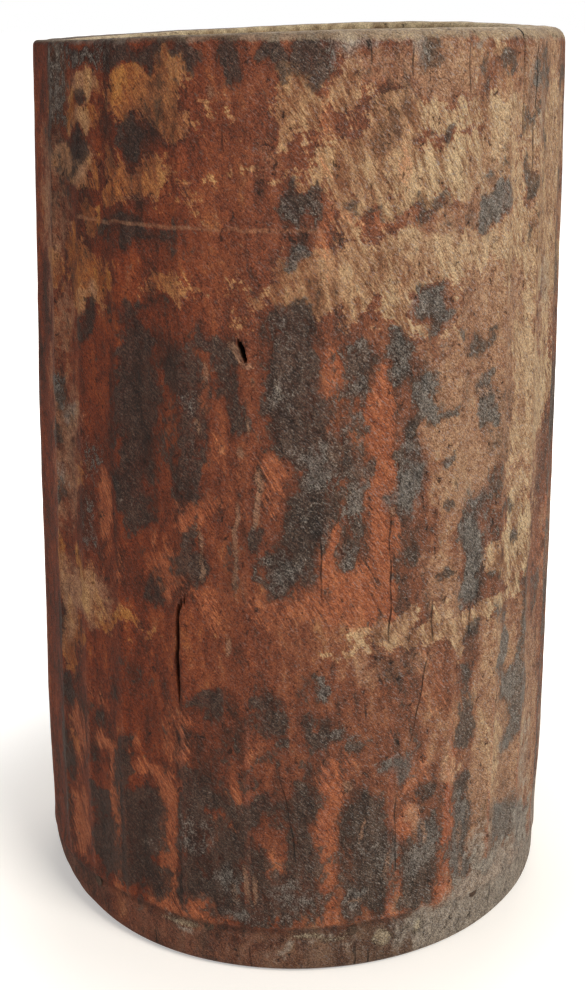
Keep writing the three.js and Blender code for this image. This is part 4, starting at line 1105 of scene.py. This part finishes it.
    # fine grit, and pale dust in the pores that is heavier and paler on the lit side as painted light,
    # small dark pits, then the dark of hairline cracks and seams, and painted shade in the deep openings
    shade = together(tree, (speck, 2.5), (hatch, 0.9), (crumb, 0.4), start=0.98)
    colour = add(tree, "ShaderNodeVectorMath", {0: colour, "Scale": shade}, operation="SCALE")
    dusted = add(tree, "ShaderNodeMapRange", {0: dust, 1: 0.06, 2: 0.17})
    sunward_and_lit = together(tree, (bleached_and_lit, 1.0), start=-0.5)
    settled_and_lit = together(tree, (bleached_and_lit, 0.26), start=0.24)
    colour = coat(tree, colour, dusted, settled_and_lit, "#866f66", "#b9b5b2", sunward_and_lit, 0.5)
    pits = add(
        tree, "ShaderNodeMapRange", {0: crumb, 1: -0.13, 2: -0.19}, interpolation_type="SMOOTHSTEP",
    )
    pits = add(tree, "ShaderNodeMath", {0: pits, 1: 0.7}, operation="MULTIPLY")
    side = add(tree, "ShaderNodeMath", {0: side}, operation="ABSOLUTE")
    line = add(
        tree, "ShaderNodeMapRange", {0: side, 1: HAIRLINE_CORE_MM, 2: HAIRLINE_EDGE_MM, 3: 1.0, 4: 0.0},
    )
    broken = together(tree, (crumb, 2.5), (blot, 2.0), start=0.8)
    line = add(tree, "ShaderNodeMath", {0: line, 1: broken}, operation="MULTIPLY", use_clamp=True)
    hairline = add(tree, "ShaderNodeMath", {0: hairline, 1: line}, operation="MULTIPLY")
    clean = together(tree, (dusty, -0.5), start=0.6)
    seam = add(tree, "ShaderNodeMath", {0: seam, 1: clean}, operation="MULTIPLY")
    hair = add(tree, "ShaderNodeMath", {0: hairline, 1: 0.8}, operation="MULTIPLY")
    # painted shade in the openings, darker where they are cut deeper; the hairlines, seams and pits are
    # dark in their own colour
    dark = opening
    for other in (pits, hair, seam):
        dark = add(tree, "ShaderNodeMath", {0: dark, 1: other}, operation="MAXIMUM")
    gap_and_shade = linear("#15100d")
    colour = add(tree, "ShaderNodeMix", {0: dark, 6: colour, 7: gap_and_shade}, out=2, data_type="RGBA")

    gloss = together(tree, (patina, -0.12), (worn, 0.2), start=0.62)
    relief = together(
        tree, (blot, 0.5), (crumb, 0.45), (strand, 0.45), (hatch, 0.4), (speck, 0.4), (stroke, 0.5),
        (patina, 0.14), (worn, -0.12), (pits, -0.3), (hairline, -0.5), (streak_and_highlight, 0.25),
    )
    satin_skin(tree, colour, gloss, relief, 1.3, 0.25)
    return material


def adzed_board():
    """The base board: a plank of the same hardwood, left dry and grey-brown from the adze below, and
    brown and greasy from butter above. Its grain lies across the pot, and its pores are drawn 0.9 mm
    wide, because the real 0.1 to 0.3 mm is too fine to show."""
    material, tree = new_material("adzed_board_wood")
    figure = grain(tree, 3.5, 14, 0, 4, 0.6, 0.8, 0.2, flat=True)
    blot = grain(tree, 14, 1.5, 0, 4, 0.6, 0.5, 0.7, flat=True)
    speck = grain(tree, 0.9, 3, 0, 3, 0.7, 0.4, 0.4, flat=True)
    figured = together(tree, (figure, 1.0), (blot, 0.6))
    colour = coat(tree, linear("#6d5644"), 1.0, 1.0, "#5c4534", "#96795a", figured)
    dirt = together(tree, (blot, 1.0), (speck, 0.6))
    dirt = add(tree, "ShaderNodeMapRange", {0: dirt, 1: 0.02, 2: 0.14}, interpolation_type="SMOOTHSTEP")
    colour = coat(tree, colour, dirt, 0.6, "#2e231b", "#584737", speck)
    inside = add(tree, "ShaderNodeAttribute", out="Fac", attribute_name="inside")
    buttered = together(tree, (figure, 0.7), (blot, 0.8))
    colour = coat(tree, colour, inside, 1.0, "#54361f", "#a0774c", buttered)
    pores = add(tree, "ShaderNodeMapRange", {0: speck, 1: 0.12, 2: 0.2}, interpolation_type="SMOOTHSTEP")
    colour = coat(tree, colour, pores, 0.6, "#1d140e", "#2b1e15", figure)
    gloss = together(tree, (inside, -0.2), (figure, 0.3), start=0.78)
    relief = together(tree, (figure, 0.8), (speck, 0.5), (pores, -0.3))
    satin_skin(tree, colour, gloss, relief, 0.6, 0.25)
    return material


def peg_end_wood():
    """Whittled pegs of harder dark wood, driven in and cut nearly flush: their end grain is dark with
    the same grime as the foot, and is drawn 0.7 mm wide, because real end grain is too fine to show."""
    material, tree = new_material("whittled_peg_wood")
    figure = grain(tree, 0.7, 1, 0, 3, 0.6, 0.6)
    blot = grain(tree, 4, 1, 0, 3, 0.6, 0.6, 0.3)
    figured = together(tree, (figure, 1.0), (blot, 0.6))
    colour = coat(tree, linear("#45342a"), 1.0, 1.0, "#2b1d16", "#6a5241", figured)
    dirt = add(tree, "ShaderNodeMapRange", {0: blot, 1: -0.02, 2: 0.12}, interpolation_type="SMOOTHSTEP")
    colour = coat(tree, colour, dirt, 0.5, "#1b1410", "#5d5247", figure)
    satin_skin(tree, colour, together(tree, (figure, 0.4), start=0.7), figure, 0.4, 0.25)
    return material


def dark_wax():
    """Beeswax and resin, smeared by hand and dirty with age: dull amber-brown with a soft sheen."""
    material, tree = new_material("dark_beeswax")
    smear = grain(tree, 9, 0.6, 0, 4, 0.55, 0.7)
    speck = grain(tree, 1.2, 1, 0, 3, 0.6, 0.4, 0.6)
    colour = coat(tree, linear("#5a4020"), 1.0, 1.0, "#3f2a14", "#79592c", smear)
    colour = coat(tree, colour, speck, 0.4, "#20140a", "#5a4020", speck)
    rough = together(tree, (smear, 0.5), start=0.45)
    satin_skin(tree, colour, rough, smear, 0.8, 0.5)
    return material


# Geometry trees: hand-tool unevenness that moves the surface, and the ring of pegs


def open_tree(name, sizes, counts=()):
    """A geometry tree with named inputs. Returns it, its input sockets and their identifiers."""
    tree = bpy.data.node_groups.new(name, "GeometryNodeTree")
    tree.interface.new_socket("Geometry", in_out="INPUT", socket_type="NodeSocketGeometry")
    identifiers = {}
    for kind, labels in (("NodeSocketFloat", sizes), ("NodeSocketInt", counts)):
        for label in labels:
            socket = tree.interface.new_socket(label, in_out="INPUT", socket_type=kind)
            identifiers[label] = socket.identifier
    tree.interface.new_socket("Geometry", in_out="OUTPUT", socket_type="NodeSocketGeometry")
    return tree, tree.nodes.new("NodeGroupInput").outputs, identifiers


def close_tree(tree, geometry, material):
    """Ends a geometry tree with real geometry in its material."""
    real = add(tree, "GeometryNodeRealizeInstances", {"Geometry": geometry})
    coated = add(tree, "GeometryNodeSetMaterial", {"Geometry": real, "Material": material})
    add(tree, "NodeGroupOutput", {"Geometry": coated}, out=None)


def tool_marks_tree(material):
    """Moves every point along its normal by soft dents and short gouge ripples."""
    sizes = ("Dent size", "Dent depth", "Ripple size", "Ripple depth", "Seed")
    tree, given, identifiers = open_tree("tool_marks", sizes)
    place = add(tree, "GeometryNodeInputPosition")
    moves = []
    for size, depth in (("Dent size", "Dent depth"), ("Ripple size", "Ripple depth")):
        taller = add(tree, "ShaderNodeVectorMath", {0: place, 1: (1.0, 1.0, 0.7)}, operation="MULTIPLY")
        scale = add(tree, "ShaderNodeMath", {0: 1.0, 1: given[size]}, operation="DIVIDE")
        noise = add(
            tree, "ShaderNodeTexNoise",
            {"Vector": taller, "W": given["Seed"], "Scale": scale, "Detail": 2.0, "Roughness": 0.5},
            noise_dimensions="4D",
        )
        centred = add(tree, "ShaderNodeMath", {0: noise, 1: 0.5}, operation="SUBTRACT")
        moves.append(add(tree, "ShaderNodeMath", {0: centred, 1: given[depth]}, operation="MULTIPLY"))
    moved = add(tree, "ShaderNodeMath", {0: moves[0], 1: moves[1]}, operation="ADD")
    still = add(tree, "GeometryNodeInputNamedAttribute", {"Name": "still"}, data_type="FLOAT")
    free = add(tree, "ShaderNodeMath", {0: 1.0, 1: still}, operation="SUBTRACT")
    moved = add(tree, "ShaderNodeMath", {0: moved, 1: free}, operation="MULTIPLY")
    normal = add(tree, "GeometryNodeInputNormal")
    offset = add(tree, "ShaderNodeVectorMath", {0: normal, "Scale": moved}, operation="SCALE")
    shaped = add(tree, "GeometryNodeSetPosition", {"Geometry": given["Geometry"], "Offset": offset})
    close_tree(tree, shaped, material)
    return tree, identifiers


def peg_ring_tree(material):
    """Sets whittled eight-sided tapered pegs in a ring, each one driven in towards the middle."""
    sizes = (
        "Head radius", "Tip radius", "Length", "Tip distance", "Height", "First turn", "Whittling",
    )
    tree, given, identifiers = open_tree("peg_ring", sizes, ("Count", "Seed"))
    ring = add(
        tree, "GeometryNodeMeshCircle", {"Vertices": given["Count"], "Radius": given["Tip distance"]},
    )
    up = add(tree, "ShaderNodeCombineXYZ", {2: given["Height"]})
    turn = add(tree, "ShaderNodeCombineXYZ", {2: given["First turn"]})
    ring = add(tree, "GeometryNodeTransform", {"Geometry": ring, "Translation": up, "Rotation": turn})
    stick = add(
        tree, "GeometryNodeMeshCone",
        {
            "Vertices": 8, "Side Segments": 16, "Radius Top": given["Head radius"],
            "Radius Bottom": given["Tip radius"], "Depth": given["Length"],
        },
    )
    place = add(tree, "GeometryNodeInputPosition")
    cuts_per_metre = 260.0
    knife = add(tree, "ShaderNodeTexNoise", {"Vector": place, "Scale": cuts_per_metre, "Detail": 1.0})
    knife = add(tree, "ShaderNodeMath", {0: knife, 1: given["Whittling"]}, operation="MULTIPLY")
    inwards = add(tree, "ShaderNodeVectorMath", {0: place, 1: (-1.0, -1.0, 0.0)}, operation="MULTIPLY")
    pared = add(tree, "ShaderNodeVectorMath", {0: inwards, "Scale": knife}, operation="SCALE")
    stick = add(tree, "GeometryNodeSetPosition", {"Geometry": stick, "Offset": pared})
    outwards = add(tree, "ShaderNodeVectorMath", {0: place, 1: (1.0, 1.0, 0.0)}, operation="MULTIPLY")
    aim = add(tree, "FunctionNodeAlignRotationToVector", {"Vector": outwards}, axis="Z")
    spin = add(tree, "FunctionNodeRandomValue", {"Seed": given["Seed"]}, out=1, data_type="FLOAT")
    spin = add(tree, "ShaderNodeCombineXYZ", {2: spin})
    aim = add(
        tree, "FunctionNodeRotateRotation", {"Rotation": aim, "Rotate By": spin}, rotation_space="LOCAL",
    )
    pegs = add(
        tree, "GeometryNodeInstanceOnPoints", {"Points": ring, "Instance": stick, "Rotation": aim},
    )
    close_tree(tree, pegs, material)
    return tree, identifiers


def work_over(piece, tree, identifiers, **sizes):
    """Runs a geometry tree on a piece, with sizes in metres, and keeps the result as its mesh."""
    modifier = piece.modifiers.new("worked", "NODES")
    modifier.node_group = tree
    for name, value in sizes.items():
        modifier[identifiers[name.replace("_", " ").capitalize()]] = value
    bpy.context.view_layer.update()
    evaluated = piece.evaluated_get(bpy.context.evaluated_depsgraph_get())
    worked = bpy.data.meshes.new_from_object(evaluated)
    piece.modifiers.remove(modifier)
    old = piece.data
    piece.data = worked
    worked.name = piece.name
    bpy.data.meshes.remove(old)
    bpy.data.node_groups.remove(tree)
    return piece


def settle(piece, slot, *nodes):
    """Puts a finished piece on the pot's one body, in place of its construction nodes."""
    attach(piece, "root")
    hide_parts(*nodes)


def build_trunk():
    """The trunk, worked over by hand tools except at its foot, in its rebate and in its openings."""
    points, faces, marks = trunk_mesh()
    height = points[:, 2] / MM
    foot = 1 - ease(0, STILL_FOOT_MM, height)
    rebate = np.where((marks["inside"] > 0.5) & (height < STILL_REBATE_MM), 1.0, 0.0)
    marks["still"] = np.maximum(np.maximum(foot, rebate), marks["opening"] * STILL_IN_OPENINGS)
    trunk = make_object("trunk", points, faces, marks)
    work_over(
        trunk, *tool_marks_tree(ochred_hardwood()), dent_size=DENT_SIZE_MM * MM,
        dent_depth=DENT_DEPTH_MM * MM, ripple_size=RIPPLE_SIZE_MM * MM,
        ripple_depth=RIPPLE_DEPTH_MM * MM, seed=4.0,
    )
    settle(trunk, "trunk_wood", "pot_body")


def build_board():
    """The base board, let into the rebate."""
    points, faces, marks = board_mesh()
    board = make_object("base_board", points, faces, marks)
    board.data.materials.append(adzed_board())
    settle(board, "board_wood", "base_disc")


def build_wax():
    """The wax bead over the joint of wall and board."""
    points, faces = wax_mesh()
    wax = make_object("wax_bead", points, faces)
    wax.data.materials.append(dark_wax())
    settle(wax, "wax", "wax_seal")


def build_pegs():
    """The ring of pegs that hold the base board."""
    pegs = make_object("pegs", [], [])
    work_over(
        pegs, *peg_ring_tree(peg_end_wood()), head_radius=PEG_HEAD_MM / 2 * MM,
        tip_radius=PEG_TIP_MM / 2 * MM, length=(PEG_OUTER_END_MM - PEG_INNER_END_MM) * MM,
        tip_distance=PEG_INNER_END_MM * MM, height=PEG_HEIGHT_MM * MM,
        first_turn=math.radians(PEG_FIRST_ANGLE - 90), whittling=PEG_WHITTLING, count=PEG_COUNT, seed=3,
    )
    settle(pegs, "peg_wood", *[f"base_peg_{number:02d}" for number in range(1, PEG_COUNT + 1)])


def build_camera():
    """The camera at the photograph's viewing angle, with the photograph's frame."""
    data = bpy.data.cameras.new("photo_camera")
    data.sensor_fit = "VERTICAL"
    data.sensor_height = SENSOR_HEIGHT_MM
    data.lens = FOCAL_LENGTH_PX * data.sensor_height / PHOTO_HEIGHT_PX
    data.clip_end = 50.0
    camera = bpy.data.objects.new("photo_camera", data)
    camera.location = (CAMERA_SIDE, -CAMERA_DISTANCE, CAMERA_HEIGHT)
    camera.rotation_euler = (math.radians(90 - CAMERA_PITCH), 0, 0)
    bpy.context.scene.collection.objects.link(camera)
    bpy.context.scene.camera = camera


def build_lamp(name, place, aim, size, watts, colour):
    """A round soft lamp that faces the place it aims at."""
    data = bpy.data.lights.new(name, "AREA")
    data.shape = "DISK"
    data.size = size
    data.energy = watts
    data.color = colour
    lamp = bpy.data.objects.new(name, data)
    lamp.location = place
    away, aside, up = np.array(aim) - np.array(place)
    lamp.rotation_euler = (
        math.atan2(math.hypot(away, aside), -up), 0, math.atan2(aside, away) - math.pi / 2,
    )
    bpy.context.scene.collection.objects.link(lamp)


# Lamps: name, place, what it aims at, width, watts and colour
LAMPS = [
    ("key", (1.25, -1.45, 1.9), (0, 0, 0.2), 1.3, 50, (1.0, 0.985, 0.96)),
    ("fill", (-2.2, -0.7, 1.0), (0, 0, 0.2), 2.0, 13, (0.97, 0.985, 1.0)),
    ("back", (0.2, 1.6, 1.7), (0, 0, 0.3), 1.6, 18, (1.0, 1.0, 1.0)),
]

# Strength of the white air as a light, and as the camera sees it
AIR_LIGHT = 0.2
AIR_SEEN = 1.0

# Floor, in metres: its corners, and how far from the middle it starts and ends lifting to white for
# the camera, from a least lift that leaves the shadow by the pot
FLOOR_CORNERS = [(-9, -6, 0), (9, -6, 0), (9, 30, 0), (-9, 30, 0)]
FLOOR_LIFT_START = 0.13
FLOOR_LIFT_END = 0.3
FLOOR_LEAST_LIFT = 0.34


def build_studio():
    """A white floor that keeps the pot's shadow, soft lamps from the right and above, white air."""
    for lamp in LAMPS:
        build_lamp(*lamp)
    world = bpy.data.worlds.new("white_air")
    world.use_nodes = True
    tree = world.node_tree
    tree.nodes.clear()
    seen = add(tree, "ShaderNodeLightPath", out="Is Camera Ray")
    strength = add(tree, "ShaderNodeMapRange", {0: seen, 3: AIR_LIGHT, 4: AIR_SEEN})
    white = (1.0, 1.0, 1.0, 1.0)
    air = add(tree, "ShaderNodeBackground", {"Color": white, "Strength": strength})
    add(tree, "ShaderNodeOutputWorld", {"Surface": air}, out=None)
    bpy.context.scene.world = world

    floor = make_object("floor", FLOOR_CORNERS, [(0, 1, 2, 3)], smooth=False)
    material, tree = new_material("studio_floor")
    place = add(tree, "ShaderNodeTexCoord", out="Object")
    distance = add(tree, "ShaderNodeVectorMath", {0: place}, out="Value", operation="LENGTH")
    lift = add(
        tree, "ShaderNodeMapRange",
        {0: distance, 1: FLOOR_LIFT_START, 2: FLOOR_LIFT_END, 3: FLOOR_LEAST_LIFT, 4: 1.0},
        interpolation_type="SMOOTHSTEP",
    )
    seen = add(tree, "ShaderNodeLightPath", out="Is Camera Ray")
    glow = add(tree, "ShaderNodeMath", {0: seen, 1: lift}, operation="MULTIPLY")
    surface = add(
        tree, "ShaderNodeBsdfPrincipled",
        {
            "Base Color": linear("#f0e9de"), "Roughness": 0.9, "Specular IOR Level": 0.1,
            "Emission Color": white, "Emission Strength": glow,
        },
    )
    add(tree, "ShaderNodeOutputMaterial", {"Surface": surface}, out=None)
    floor.data.materials.append(material)


build_camera()
build_studio()
build_trunk()
build_board()
build_wax()
build_pegs()

bpy.context.scene.view_settings.view_transform = "Standard"
